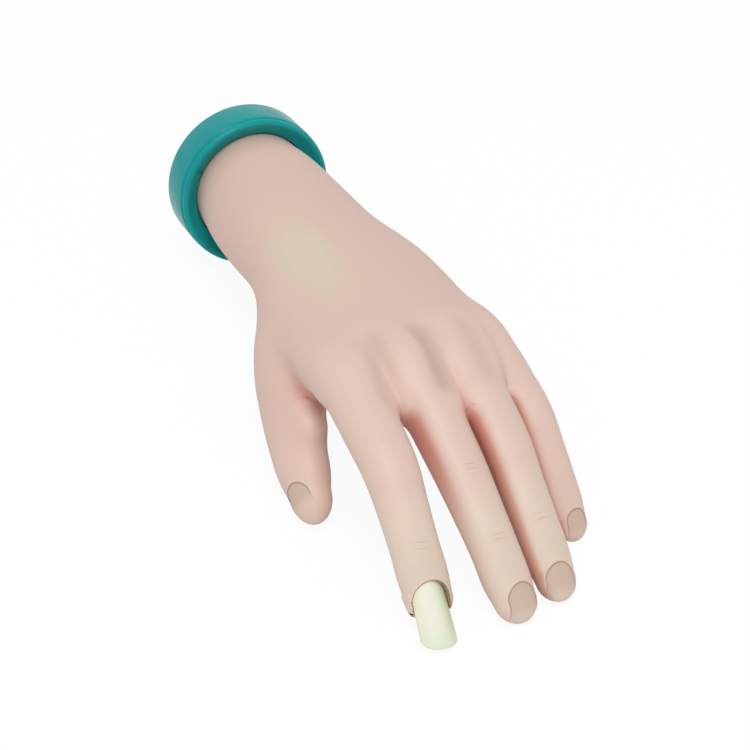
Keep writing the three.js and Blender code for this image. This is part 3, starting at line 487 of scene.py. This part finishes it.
def new_piece(name, points, faces, normals=None, marks=None):
    """a mesh piece in the row frame, from points in the hand's frame; marks are values there"""
    mesh = bpy.data.meshes.new(name)
    mesh.from_pydata(in_row(points), [], faces)
    mesh.update()
    for key, values in (marks or {}).items():
        mesh.attributes.new(key, "FLOAT", "POINT").data.foreach_set("value", np.asarray(values, F))
    mesh.shade_smooth()
    if normals is not None:
        mesh.normals_split_custom_set_from_vertices(normals)
    return in_scene(name, mesh)


def turned(name, outline, sides, nick=None):
    """a ring turned about the forearm's line from (distance from the back, radius) corners"""
    outline = np.array(outline, float)
    angles = np.arange(sides) * 2 * np.pi / sides
    angles, distance = np.meshgrid(angles, outline[:, 0], indexing="ij")
    radius = np.tile(outline[:, 1], (sides, 1))
    if nick:
        distance = distance - nick(angles, distance, radius)
    points = np.stack([radius * np.sin(angles), -distance, radius * np.cos(angles)], -1)
    points = points.reshape(-1, 3) @ ARM[:3, :3].T + ARM[:3, 3]
    n = len(outline)
    i, j = np.meshgrid(np.arange(sides), np.arange(n), indexing="ij")
    a, b = i * n + j, ((i + 1) % sides) * n + j
    c, d = ((i + 1) % sides) * n + (j + 1) % n, i * n + (j + 1) % n
    faces = np.stack([a, b, c, d], -1).reshape(-1, 4)
    return new_piece(name, points, faces.tolist())


def arc(centre, radius, start, end, steps):
    """corners on an arc, by angles from the outward direction"""
    return [(centre[0] + radius * np.sin(t), centre[1] + radius * np.cos(t))
            for t in np.radians(np.linspace(start, end, steps))]


# ---------------------------------------------------------------- skin pieces
# the palm's lining of the webs: how far it runs, how near two digits have to be, how deep it lies
LINING_RUN, LINING_SPAN, LINING_DEPTH, LINING_SLOPE = 6, 6, 0.35, 0.5


def finer_at_nail(digit, points, faces):
    """the same skin with its faces round the nail split finer and set back on the form"""
    mesh = bpy.data.meshes.new("finer")
    mesh.from_pydata(points, [], faces)
    work = bmesh.new()
    work.from_mesh(mesh)
    edge, run, x = nail_edge(digit, np.array([f.calc_center_median() for f in work.faces], F))
    band = (np.abs(edge) < 1.4) & (run < bed_length(digit) + 1)
    if digit is DIGITS["index"]:
        band = edge < 1.8
    band &= x[:, 2] > NAIL_SIDE
    chosen = {e for f, near in zip(list(work.faces), band) if near for e in f.edges}
    cuts = 2
    bmesh.ops.subdivide_edges(work, edges=list(chosen), cuts=cuts, use_grid_fill=True)
    work.to_mesh(mesh)
    work.free()
    points = np.array([v.co for v in mesh.vertices], F)
    faces = [list(f.vertices) for f in mesh.polygons]
    bpy.data.meshes.remove(mesh)
    fine, furthest = 0.08, 0.3   # the step that a slope is taken over, and the most a point moves
    for _ in range(3):
        value, rise = slope(points, fine)
        step = np.clip(value / np.maximum((rise * rise).sum(1), 0.5), -furthest, furthest)
        points = points - (rise * step[:, None]).astype(F)
    rise = slope(points, fine)[1]
    return points, faces, rise / np.linalg.norm(rise, axis=1)[:, None]


def skin_marks(digit, x, outward):
    """what the skin's finish needs to know at each point: distances in mm, shares from 0 to 1"""
    edge, fade, fold = np.full(len(x), 9.0), np.zeros(len(x)), np.full(len(x), 9.0)
    folded, side, cream = np.zeros(len(x)), np.zeros(len(x)), np.zeros(len(x))
    if digit:
        edge, run, place = nail_edge(digit, x)
        edge = np.where(place[:, 2] > NAIL_SIDE, edge, 9)
        fade = 1 - smooth_step(run, bed_length(digit) - 7, bed_length(digit))
        if digit is DIGITS["index"]:
            edge, fade = edge - SLOT_PLAY, np.ones(len(x))
        bones = np.cumsum((0, *digit["bones"]))
        for crease in digit["creases"]:
            k = np.searchsorted(bones, crease) - 1
            bend = digit["bends"][k + 1] / 2 if k < 2 else 0
            at = inside(frame_in(digit["frames"][k], (0, bones[k] - crease, 0), x=bend), x)
            near = (at[:, 2] > 2) & (np.abs(at[:, 1]) < 6)
            fold = np.where(near, at[:, 1] + 0.02 * at[:, 0]**2, fold)
            spread = np.exp(-(at[:, 0] / 2.6)**2 - (at[:, 1] / 1.5)**2)
            folded = np.where(near, spread, folded)
    reach = np.array([LIMBS[n](x) for n in DIGITS])
    second = np.sort(reach, 0)[1]
    forward = -inside(PALM, x)[:, 1]
    # pink in the webs and in the thumb's web: partly airbrushed pink, partly painted shade and a
    # painted warm glow where the digits close in on each other
    between = smooth_step(-second, -6.5, 0) * smooth_step(forward, 100, 114)
    between = between * (1 - 0.75 * smooth_step(forward, 118, 136))
    thumb_web = (smooth_step(-np.maximum(reach[0], reach[4]), -12, -3)
                 * smooth_step(forward, 60, 78))
    owner = np.argmin(reach, 0)
    for k, (name, digit) in enumerate(DIGITS.items()):
        run = np.linalg.norm(x - digit["joints"][0].astype(F), axis=1) * (forward > 50)
        mine = (owner == k) & (reach[k] < 8)
        # on the side that faces the index: partly airbrushed pink, partly painted shade and a
        # painted warm glow between the fingers
        if name in SIDE_PINK_AND_SHADE:
            start, fading, facing = SIDE_PINK_AND_SHADE[name]
            pink_and_shade_run = (smooth_step(run, start, start + 10)
                       * (1 - fading * smooth_step(run, start + 16, start + 52)))
            side = np.where(mine, smooth_step(-outward[:, 0], *facing) * pink_and_shade_run, side)
        if name in ("index", "middle", "ring"):
            cream = np.where(mine, smooth_step(run, 42, 66), cream)
    patch = (x - np.array(PALE_PATCH, F)) / np.array(PALE_PATCH_SIZE, F)
    return {"nail_edge": edge, "nail_fade": fade, "fold": fold, "folded": folded, "cream": cream,
            "rosy": 1 - smooth_step(forward, 62, 92),
            # pink between the digits: partly airbrushed, partly painted shade and a painted warm
            # glow of light bounced and scattered there
            "pink_and_shade": np.maximum.reduce([0.9 * between, thumb_web, 0.85 * side]),
            # painted shade in the valleys between the knuckles, as deep as each valley
            "hollow": sum(valley(x, *v) for v in VALLEYS) / max(v[2] for v in VALLEYS),
            "pale_patch": np.exp(-(patch**2).sum(1))}


def skin_pieces():
    """the whole skin cut into the part's own pieces, each named for its body"""
    points, quads, normals = skin_surface(SKIN_CELL)
    centres = points[quads].mean(1)
    reach = np.array([LIMBS[n](centres) for n in DIGITS])
    nearest = np.argmin(reach, 0)
    first, second = np.sort(reach, 0)[:2]
    beyond = np.full(len(quads), -1.0)
    back = -inside(ARM, centres)[:, 1]
    owner = np.full(len(quads), "palm", dtype=object)
    owner[back < SKIN_BACK] = ""
    for k, (name, digit) in enumerate(DIGITS.items()):
        run = [-inside(f, centres)[:, 1] for f in digit["frames"]]
        radial = np.linalg.norm(inside(digit["frames"][0], centres)[:, ::2], axis=1)
        close = (radial < 16) | (run[0] > digit["bones"][0] - 6)
        mine = (nearest == k) & (run[0] > digit["cuts"][0]) & close
        names = PIECES[len(digit["frames"])]
        owner[mine] = f"{name}_{names[0]}"
        beyond[mine] = run[0][mine] - digit["cuts"][0]
        behind = 0
        for step, cut in enumerate(digit["cuts"][1:]):
            ahead = run[step] > cut - behind
            mine = mine & ahead
            owner[mine] = f"{name}_{names[step + 1]}"
            behind += digit["bones"][step]
    made = {}
    # in each web the palm's skin goes on under the digits' skins, deeper the further it runs, so
    # that none opens there as they bend
    lining = (beyond > 0) & (beyond < LINING_RUN) & (first > 0.3) & (second - first < LINING_SPAN)
    sunk = smooth_step(beyond, -0.3, 0.7) * LINING_DEPTH
    sunk = sunk + LINING_SLOPE * np.maximum(beyond - 0.5, 0)
    depth = np.zeros(len(points))
    np.maximum.at(depth, quads[lining], sunk[lining, None])
    np.minimum.at(depth, quads[owner == "palm"], 0)
    for key in sorted(set(owner) - {""}):
        faces = quads[(owner == key) | lining] if key == "palm" else quads[owner == key]
        used, faces = np.unique(faces, return_inverse=True)
        x, faces, outward = points[used], faces.reshape(-1, 4).tolist(), normals[used]
        if key == "palm":
            x = x - outward * depth[used, None]
        digit = DIGITS.get(key.split("_")[0])
        if digit and key.endswith("tip"):
            x, faces, outward = finer_at_nail(digit, x, faces)
        marks = skin_marks(digit, x, outward)
        made[key] = new_piece(f"{key}_vinyl", x, faces, outward, marks)
    return made


skins = skin_pieces()
for key, piece in skins.items():
    name, _, step = key.partition("_")
    if name == "palm":
        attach(piece, "palm")
        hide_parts("palm_skin")
        continue
    digit = DIGITS[name]
    steps = PIECES[len(digit["frames"])]
    k = steps.index(step)
    start, end = digit["folds"][k]
    in_row(along(digit, start))
    in_row(along(digit, end))
    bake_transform(piece)
    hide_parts(f"{key}_skin")

# ---------------------------------------------------------------- collar and plug
bore = COLLAR_RADIUS - COLLAR_WALL
roll = (COLLAR_LENGTH - ROLL_RADIUS, COLLAR_RADIUS - ROLL_IN)
edge_round, mouth_round, groove_round = 0.7, 0.4, 0.5
collar_outline = (
    # the rounded back edge, the bore and the mouth
    arc((edge_round, bore + edge_round), edge_round, 270, 180, 4)
    + [(8, bore), (12, bore), (12.8, MOUTH_RADIUS + 0.2)]
    + arc((13.3, MOUTH_RADIUS + mouth_round), mouth_round, 200, 110, 5)
    # the mouth's slope, the rolled lip, the groove behind it and the back edge again
    + [(14.6, 25.1)] + arc(roll, ROLL_RADIUS, 135, -25, 14)
    + [(13.9, COLLAR_RADIUS - 0.7), (13.75, COLLAR_RADIUS - 0.62)]
    + arc((13.1, COLLAR_RADIUS - groove_round), groove_round, 65, 0, 5)
    + [(8, COLLAR_RADIUS)]
    + arc((edge_round, COLLAR_RADIUS - edge_round), edge_round, 0, -90, 5))


def parting_nick(angle, distance, radius):
    """the small fold that the mould's parting leaves on the mouth's slope, to the upper left"""
    slope_radius = 25
    across = (angle - np.radians(302)) * slope_radius
    slope = smooth_step(distance, 12.9, 13.6) * smooth_step(-radius, -27.2, -26.6)
    return slope * (0.55 * np.exp(-(across / 0.45)**2) - 0.4 * np.exp(-((across - 1.1) / 0.6)**2))


collar = turned("wrist_collar_abs", collar_outline, 320, parting_nick)
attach(collar, "palm")
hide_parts("wrist_collar")

# a disc 4 mm thick, with a hole and a wider seat for the screw's head
plug_outline = [(0, 3.9), (2.5, 3.9), (2.5, 2.2), (4, 2.2), (4, 24.2), (0.4, 24.2), (0, 23.8)]
plug = turned("base_plug_abs", plug_outline, 96)
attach(plug, "palm")
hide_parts("base_plug")


# ---------------------------------------------------------------- practice tip
# how far the free edge lies back at shares of the tip's width, from -1 to 1
FREE_EDGE = ((-1, 3.9), (-0.92, 2.6), (-0.8, 1.8), (-0.6, 1), (-0.35, 0.45), (0, 0.1), (0.4, 0),
             (0.7, 0.25), (0.85, 0.6), (0.95, 1.1), (1, 1.8))


def practice_tip():
    """a thin arched shell, its upper and under side joined round the rim"""
    digit = DIGITS["index"]
    half = digit["nail"][0]
    radius = half * NAIL_ARCH
    rows, columns = 72, 44
    share, across = np.meshgrid(np.linspace(0, 1, rows), np.linspace(-1, 1, columns),
                                indexing="ij")
    # the root is a half ellipse, the sides draw in a little, and the free edge bows out to one
    # side of its middle
    y = -SLOT_DEPTH + (TIP_LENGTH + SLOT_DEPTH) * share
    root = np.clip((half - y) / (half + SLOT_DEPTH), 0, 1)
    drawn_in = 0.1 * smooth_step(y, half, TIP_LENGTH)
    width = (half - drawn_in) * np.sqrt(np.maximum(1 - root**2, 1e-4))
    x = across * width - 0.4 * smooth_step(y, 6, TIP_LENGTH) * (1 - across) / 2
    laid_back = np.interp(across, *zip(*FREE_EDGE))
    y = y - smooth_step(y, TIP_LENGTH - TIP_ROUNDED, TIP_LENGTH) * laid_back
    top = np.sqrt(radius**2 - x**2) - radius
    points = []
    n = rows * columns
    for side in (0, 1):
        depth = -NAIL_THICKNESS * side * np.ones_like(x)
        lean = x / radius
        height = top + np.sqrt(1 - lean**2) * depth
        place = np.stack([x + lean * depth, -y, height], -1).reshape(-1, 3)
        points.append(place @ digit["nail_frame"][:3, :3].T + digit["nail_frame"][:3, 3])
    i, j = np.meshgrid(np.arange(rows - 1), np.arange(columns - 1), indexing="ij")
    a = (i * columns + j).ravel()
    upper = np.stack([a, a + 1, a + columns + 1, a + columns], -1)
    faces = [*upper.tolist(), *(upper[:, ::-1] + n).tolist()]
    rim = ([*range(columns)] + [i * columns + columns - 1 for i in range(1, rows)]
           + [(rows - 1) * columns + j for j in range(columns - 2, -1, -1)]
           + [i * columns for i in range(rows - 2, 0, -1)])
    faces += [(b, a, a + n, b + n) for a, b in zip(rim, rim[1:] + rim[:1])]
    marks = {"tip_run": np.tile((y / TIP_LENGTH).ravel(), 2),
             "tip_across": np.tile(across.ravel(), 2)}
    return new_piece("index_practice_tip_abs", np.concatenate(points), faces, marks=marks)


tip = practice_tip()
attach(tip, "practice_tip")
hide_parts("index_practice_tip")


# ---------------------------------------------------------------- materials
def linear(code):
    """an sRGB hex colour as linear light"""
    values = [int(code[i:i + 2], 16) / 255 for i in (1, 3, 5)]
    return [*(v / 12.92 if v <= 0.04045 else ((v + 0.055) / 1.055)**2.4 for v in values), 1]


def add(tree, kind, inputs=None, **settings):
    """one node with its settings, and each input given a value or a link"""
    node = tree.nodes.new(kind)
    for key, value in settings.items():
        setattr(node, key, value)
    for key, value in (inputs or {}).items():
        if isinstance(value, bpy.types.NodeSocket):
            tree.links.new(value, node.inputs[key])
        else:
            node.inputs[key].default_value = value
    return node


def material(name, **surface):
    """a material of one principled surface, its tree and its shader"""
    made = bpy.data.materials.new(name)
    made.use_nodes = True
    tree = made.node_tree
    tree.nodes.clear()
    inputs = {key.replace("_", " "): value for key, value in surface.items()}
    shader = add(tree, "ShaderNodeBsdfPrincipled", inputs)
    add(tree, "ShaderNodeOutputMaterial", {"Surface": shader.outputs[0]})
    return made, tree, shader


def paint(made, *pieces):
    for piece in pieces:
        piece.data.materials.clear()
        piece.data.materials.append(made)


# Soft PVC (vinyl), slush moulded in a hand-finished mould and tinted by airbrush: an even, matte
# skin with a faint sheen, pink between the fingers, with creases and nail beds moulded in. Painted
# shade darkens the valleys between the knuckles, the wrinkles of the creases and the folds round
# the nails, and deepens the pink between the fingers, where a warm glow of light is painted too
soft_vinyl, tree, shader = material("soft_vinyl_slush_moulded", Roughness=0.52, IOR=1.53)
marks = {name: add(tree, "ShaderNodeAttribute", attribute_name=name).outputs["Fac"]
         for name in ("nail_edge", "nail_fade", "fold", "folded", "cream", "rosy", "pink_and_shade",
                      "hollow", "pale_patch")}
place = add(tree, "ShaderNodeTexCoord").outputs["Object"]
# airbrush clouds about 40 mm across
clouds = add(tree, "ShaderNodeTexNoise", {"Vector": place, "Scale": 1 / 0.04, "Detail": 1.0})
# a crease's wrinkles waver with a 3 mm noise
waver = add(tree, "ShaderNodeTexNoise", {"Vector": place, "Scale": 1 / 0.003, "Detail": 1.0})
bent = add(tree, "ShaderNodeMath", {0: waver.outputs["Fac"], 1: 1.6, 2: marks["fold"]},
           operation="MULTIPLY_ADD")
WRINKLE_SPACING = 1.8       # in millimetres
wave = add(tree, "ShaderNodeMath", {0: bent.outputs[0], 1: WRINKLE_SPACING / 2},
           operation="PINGPONG")
away = add(tree, "ShaderNodeMath", {0: marks["nail_edge"]}, operation="ABSOLUTE")
# what the mould presses in: a measure, its value at none and at full, and where the form is
moulded = {}
for form, measure, none, full, where in (
        ("wrinkle", wave.outputs[0], 0.3, 0.05, marks["folded"]),
        ("crease", away.outputs[0], 0.36, 0.06, marks["nail_fade"]),
        ("bed", marks["nail_edge"], 0.1, -0.35, marks["nail_fade"])):
    share = add(tree, "ShaderNodeMapRange", {"Value": measure, "From Min": none, "From Max": full},
                interpolation_type="SMOOTHSTEP")
    moulded[form] = add(tree, "ShaderNodeMath", {0: share.outputs[0], 1: where},
                        operation="MULTIPLY").outputs[0]
# the tints and painted shades, laid over each other: a measure, its value at none and at full, and
# the most of it
tint = linear("#dec2b4")
for colour, measure, none, full, most in (
        ("#dfc1b4", clouds.outputs["Fac"], 0.3, 0.75, 0.7),
        ("#d6b3a6", marks["rosy"], 0.0, 1.0, 0.4),
        ("#decebb", marks["cream"], 0.0, 1.0, 0.6),
        ("#d8cdb6", marks["pale_patch"], 0.0, 1.0, 0.75),
        # painted shade in the valleys between the knuckles
        ("#bc9c92", marks["hollow"], 0.0, 1.0, 0.5),
        # pink between the digits: partly airbrushed, partly painted shade and a painted warm glow
        # of light between the fingers
        ("#c97a6a", marks["pink_and_shade"], 0.0, 1.0, 0.85),
        # painted shade in the wrinkles of the joint creases
        ("#c29c8a", moulded["wrinkle"], 0.0, 1.0, 0.5),
        ("#c9b1a0", moulded["bed"], 0.0, 1.0, 0.9),
        # painted shade in the folds round the nail beds and in the slit round the practice tip
        ("#9c7560", moulded["crease"], 0.0, 1.0, 0.75)):
    amount = {"Value": measure, "From Min": none, "From Max": full, "To Max": most}
    share = add(tree, "ShaderNodeMapRange", amount, interpolation_type="SMOOTHSTEP")
    tint = add(tree, "ShaderNodeMix", {0: share.outputs[0], 6: tint, 7: linear(colour)},
               data_type="RGBA").outputs[2]
tree.links.new(tint, shader.inputs["Base Color"])
# the mould's grain is finer than the render shows, so it is drawn 0.8 mm coarse; creases are
# pressed 0.15 mm deep
grain = add(tree, "ShaderNodeTexNoise", {"Vector": place, "Scale": 1 / 0.0008, "Detail": 2.0})
pressed = add(tree, "ShaderNodeMath", {0: moulded["wrinkle"], 1: moulded["crease"]},
              operation="MAXIMUM")
unpressed = add(tree, "ShaderNodeMapRange",
                {"Value": pressed.outputs[0], "From Min": 1.0, "From Max": 0.0},
                interpolation_type="SMOOTHSTEP")
height = add(tree, "ShaderNodeMath", {0: grain.outputs["Fac"], 1: 0.12, 2: unpressed.outputs[0]},
             operation="MULTIPLY_ADD")
relief = add(tree, "ShaderNodeBump",
             {"Height": height.outputs[0], "Strength": 0.5, "Distance": 0.00015})
tree.links.new(relief.outputs[0], shader.inputs["Normal"])
paint(soft_vinyl, *skins.values())

# ABS, injection moulded in a polished tool: deep teal, glossy, with faint flow clouds 25 mm across
# in its colour and gloss. Its specular level is low, since the white room round it would veil the
# teal more than a studio's dark corners do
teal_abs, tree, shader = material("teal_abs_gloss_moulded", IOR=1.53, Specular_IOR_Level=0.13)
place = add(tree, "ShaderNodeTexCoord").outputs["Object"]
flow = add(tree, "ShaderNodeTexNoise", {"Vector": place, "Scale": 1 / 0.025, "Detail": 2.0})
share = add(tree, "ShaderNodeMapRange",
            {"Value": flow.outputs["Fac"], "From Min": 0.3, "From Max": 0.7},
            interpolation_type="SMOOTHSTEP")
tint = add(tree, "ShaderNodeMix",
           {0: share.outputs[0], 6: linear("#0c9496"), 7: linear("#129b9b")}, data_type="RGBA")
tree.links.new(tint.outputs[2], shader.inputs["Base Color"])
gloss = add(tree, "ShaderNodeMapRange",
            {"Value": flow.outputs["Fac"], "To Min": 0.17, "To Max": 0.24})
tree.links.new(gloss.outputs[0], shader.inputs["Roughness"])
paint(teal_abs, collar, plug)

# ABS, injection moulded and milky, satin from its tool: ivory at the root and greener at its thin
# free edge, with painted light and shade across its arch: ivory just left of the middle, yellower
# at the left edge, darker and greener to the right
milky_abs, tree, shader = material("milky_abs_satin_moulded", IOR=1.53)
run, across = (add(tree, "ShaderNodeAttribute", attribute_name=name).outputs["Fac"]
               for name in ("tip_run", "tip_across"))
tint = linear("#f0efdf")
# painted light and shade across the tip's arch: yellower at the left edge, darker and greener right
# of the middle; then greener towards the free edge
for colour, measure, none, full, most in (("#e9e6c6", across, -0.45, -1.0, 0.8),
                                          ("#d3dfba", across, -0.1, 0.9, 0.9),
                                          ("#dcebcb", run, 0.55, 1.0, 0.75)):
    amount = {"Value": measure, "From Min": none, "From Max": full, "To Max": most}
    share = add(tree, "ShaderNodeMapRange", amount, interpolation_type="SMOOTHSTEP")
    tint = add(tree, "ShaderNodeMix", {0: share.outputs[0], 6: tint, 7: linear(colour)},
               data_type="RGBA").outputs[2]
tree.links.new(tint, shader.inputs["Base Color"])
# the satin varies in spots about 4 mm across, where the tool's spark-worn grain has been rubbed
place = add(tree, "ShaderNodeTexCoord").outputs["Object"]
rubbed = add(tree, "ShaderNodeTexNoise", {"Vector": place, "Scale": 1 / 0.004, "Detail": 2.0})
satin = add(tree, "ShaderNodeMapRange",
            {"Value": rubbed.outputs["Fac"], "To Min": 0.28, "To Max": 0.38})
tree.links.new(satin.outputs[0], shader.inputs["Roughness"])
paint(milky_abs, tip)

# Steel strip, stamped and zinc plated: grey with a slight blue cast, dulled in spots about 2 mm
# across
zinc_strip, tree, shader = material("zinc_plated_steel_stamped", Metallic=1.0)
place = add(tree, "ShaderNodeTexCoord").outputs["Object"]
spots = add(tree, "ShaderNodeTexNoise", {"Vector": place, "Scale": 1 / 0.002, "Detail": 2.0})
share = add(tree, "ShaderNodeMapRange",
            {"Value": spots.outputs["Fac"], "From Min": 0.35, "From Max": 0.7},
            interpolation_type="SMOOTHSTEP")
tint = add(tree, "ShaderNodeMix",
           {0: share.outputs[0], 6: linear("#b4b9bf"), 7: linear("#9ba1a8")}, data_type="RGBA")
tree.links.new(tint.outputs[2], shader.inputs["Base Color"])
dull = add(tree, "ShaderNodeMapRange",
           {"Value": spots.outputs["Fac"], "To Min": 0.3, "To Max": 0.5})
tree.links.new(dull.outputs[0], shader.inputs["Roughness"])

# A wave texture turns by 20 radians in one unit at a scale of 1, so a radian of its bands is
# 1 / (20 x scale) long, and they lie 6.28 times that apart
WAVE_RADIANS = 20
# Carbon steel pins and rod, turned and drawn bright: rings catch the light. They are too fine to
# show, so they are drawn 1.9 mm apart, which is 0.3 mm to a radian
bright_steel, tree, shader = material("carbon_steel_turned_bright", Base_Color=linear("#c3c1bc"),
                                      Roughness=0.28, Metallic=1.0)
place = add(tree, "ShaderNodeTexCoord").outputs["Object"]
rings = add(tree, "ShaderNodeTexWave",
            {"Vector": place, "Scale": 1 / (WAVE_RADIANS * 0.0003), "Distortion": 0.4},
            bands_direction="X")
relief = add(tree, "ShaderNodeBump",
             {"Height": rings.outputs["Fac"], "Strength": 0.3, "Distance": 0.00003})
tree.links.new(relief.outputs[0], shader.inputs["Normal"])

# Cast nylon, machined from sheet: off-white, satin, with cutter marks drawn 6.3 mm apart, which is
# 1 mm to a radian
nylon, tree, shader = material("natural_nylon_machined", Base_Color=linear("#e4e2da"),
                               Roughness=0.45, IOR=1.53)
place = add(tree, "ShaderNodeTexCoord").outputs["Object"]
cuts = add(tree, "ShaderNodeTexWave",
           {"Vector": place, "Scale": 1 / (WAVE_RADIANS * 0.001), "Distortion": 0.6},
           bands_direction="Y")
relief = add(tree, "ShaderNodeBump",
             {"Height": cuts.outputs["Fac"], "Strength": 0.3, "Distance": 0.00005})
tree.links.new(relief.outputs[0], shader.inputs["Normal"])

# Polyurethane foam, cut open-celled: buff and matte, with cells about 1 mm across, each darker in
# its pit as painted shade
foam, tree, shader = material("polyurethane_foam_cut", Roughness=0.95, IOR=1.5)
place = add(tree, "ShaderNodeTexCoord").outputs["Object"]
cells = add(tree, "ShaderNodeTexVoronoi", {"Vector": place, "Scale": 1 / 0.001})
share = add(tree, "ShaderNodeMapRange",
            {"Value": cells.outputs["Distance"], "From Min": 0.15, "From Max": 0.6},
            interpolation_type="SMOOTHSTEP")
# painted shade: each cell darker in its middle, where the bump sinks it
tint = add(tree, "ShaderNodeMix",
           {0: share.outputs[0], 6: linear("#a99f7c"), 7: linear("#d9d2b8")}, data_type="RGBA")
tree.links.new(tint.outputs[2], shader.inputs["Base Color"])
relief = add(tree, "ShaderNodeBump",
             {"Height": cells.outputs["Distance"], "Strength": 0.8, "Distance": 0.0004})
tree.links.new(relief.outputs[0], shader.inputs["Normal"])

for name, node in frame["nodes"].items():
    if node.hide_render:
        continue
    if name == "palm_foam":
        paint(foam, node)
    elif name == "palm_plate":
        paint(nylon, node)
    elif name.endswith("_link") or name == "base_screw":
        paint(zinc_strip, node)
    else:
        paint(bright_steel, node)

# ---------------------------------------------------------------- camera, floor and light
LENS, SENSOR, DISTANCE = 93.39, 36, 644.02
AZIMUTH, ELEVATION, ROLL = -24.87, 37.48, -0.63
TARGET = np.array((-7.46, -136.71, 29.71))
FLOOR_REACH = 3             # in metres
FLOOR_LIT = 0.93            # the share of the floor that the camera sees lit to white
ROOM_LIGHT = 0.56           # strength of the white room on the hand
LAMP_AT, LAMP_SIZE, LAMP_WATTS = (-0.25, -0.45, 1.3), (0.7, 0.25), 8.5


def camera():
    a, e, r = np.radians((AZIMUTH, ELEVATION, ROLL))
    back = np.array((np.sin(a) * np.cos(e), -np.cos(a) * np.cos(e), np.sin(e)))
    right = np.cross(-back, (0, 0, 1))
    right /= np.linalg.norm(right)
    up = np.cross(right, -back)
    right, up = right * np.cos(r) + up * np.sin(r), up * np.cos(r) - right * np.sin(r)
    made = bpy.data.cameras.new("camera")
    made.lens, made.sensor_width, made.clip_start = LENS, SENSOR, 0.01
    piece = in_scene("camera", made)
    place = np.eye(4)
    place[:3, :3] = np.stack([right, up, back], -1)
    place[:3, 3] = in_row(TARGET + back * DISTANCE)
    piece.matrix_world = Matrix(place.tolist())
    bpy.context.scene.camera = piece


camera()

floor_mesh = bpy.data.meshes.new("floor")
corners = [(FLOOR_REACH * x, FLOOR_REACH * y, 0) for x, y in ((-1, -1), (1, -1), (1, 1), (-1, 1))]
floor_mesh.from_pydata(corners, [], [(0, 1, 2, 3)])
floor = in_scene("floor", floor_mesh)
# Smooth white paper: it takes the hand's shadow, and what the camera sees of it is lit to white
white_paper, tree, shader = material("smooth_white_paper", Base_Color=linear("#f9f9f9"),
                                     Roughness=0.9)
seen = add(tree, "ShaderNodeLightPath").outputs["Is Camera Ray"]
lit = add(tree, "ShaderNodeMath", {0: seen, 1: FLOOR_LIT}, operation="MULTIPLY")
white = add(tree, "ShaderNodeEmission", {"Color": linear("#ffffff"), "Strength": 1.0})
both = add(tree, "ShaderNodeMixShader",
           {0: lit.outputs[0], 1: shader.outputs[0], 2: white.outputs[0]})
output = next(node for node in tree.nodes if node.type == "OUTPUT_MATERIAL")
tree.links.new(both.outputs[0], output.inputs["Surface"])
paint(white_paper, floor)

# a soft white room, dimmer on the hand than what the camera and mirror rays see of it
world = bpy.data.worlds.new("soft_room")
bpy.context.scene.world = world
world.use_nodes = True
tree = world.node_tree
tree.nodes.clear()
ray = add(tree, "ShaderNodeLightPath")
seen = ray.outputs["Is Camera Ray"]
for kind in ("Is Glossy Ray", "Is Transmission Ray"):
    seen = add(tree, "ShaderNodeMath", {0: seen, 1: ray.outputs[kind]},
               operation="MAXIMUM").outputs[0]
strength = add(tree, "ShaderNodeMapRange", {"Value": seen, "To Min": ROOM_LIGHT, "To Max": 1.0})
light = add(tree, "ShaderNodeBackground",
            {"Color": linear("#ffffff"), "Strength": strength.outputs[0]})
add(tree, "ShaderNodeOutputWorld", {"Surface": light.outputs[0]})


lamp = bpy.data.lights.new("soft_box_above", "AREA")
lamp.shape, lamp.energy = "RECTANGLE", LAMP_WATTS
lamp.size, lamp.size_y = LAMP_SIZE
soft_box = in_scene("soft_box_above", lamp)
soft_box.location = LAMP_AT
soft_box.rotation_euler = (-Vector(LAMP_AT)).to_track_quat("-Z", "Y").to_euler()

bpy.context.scene.view_settings.view_transform = "Standard"
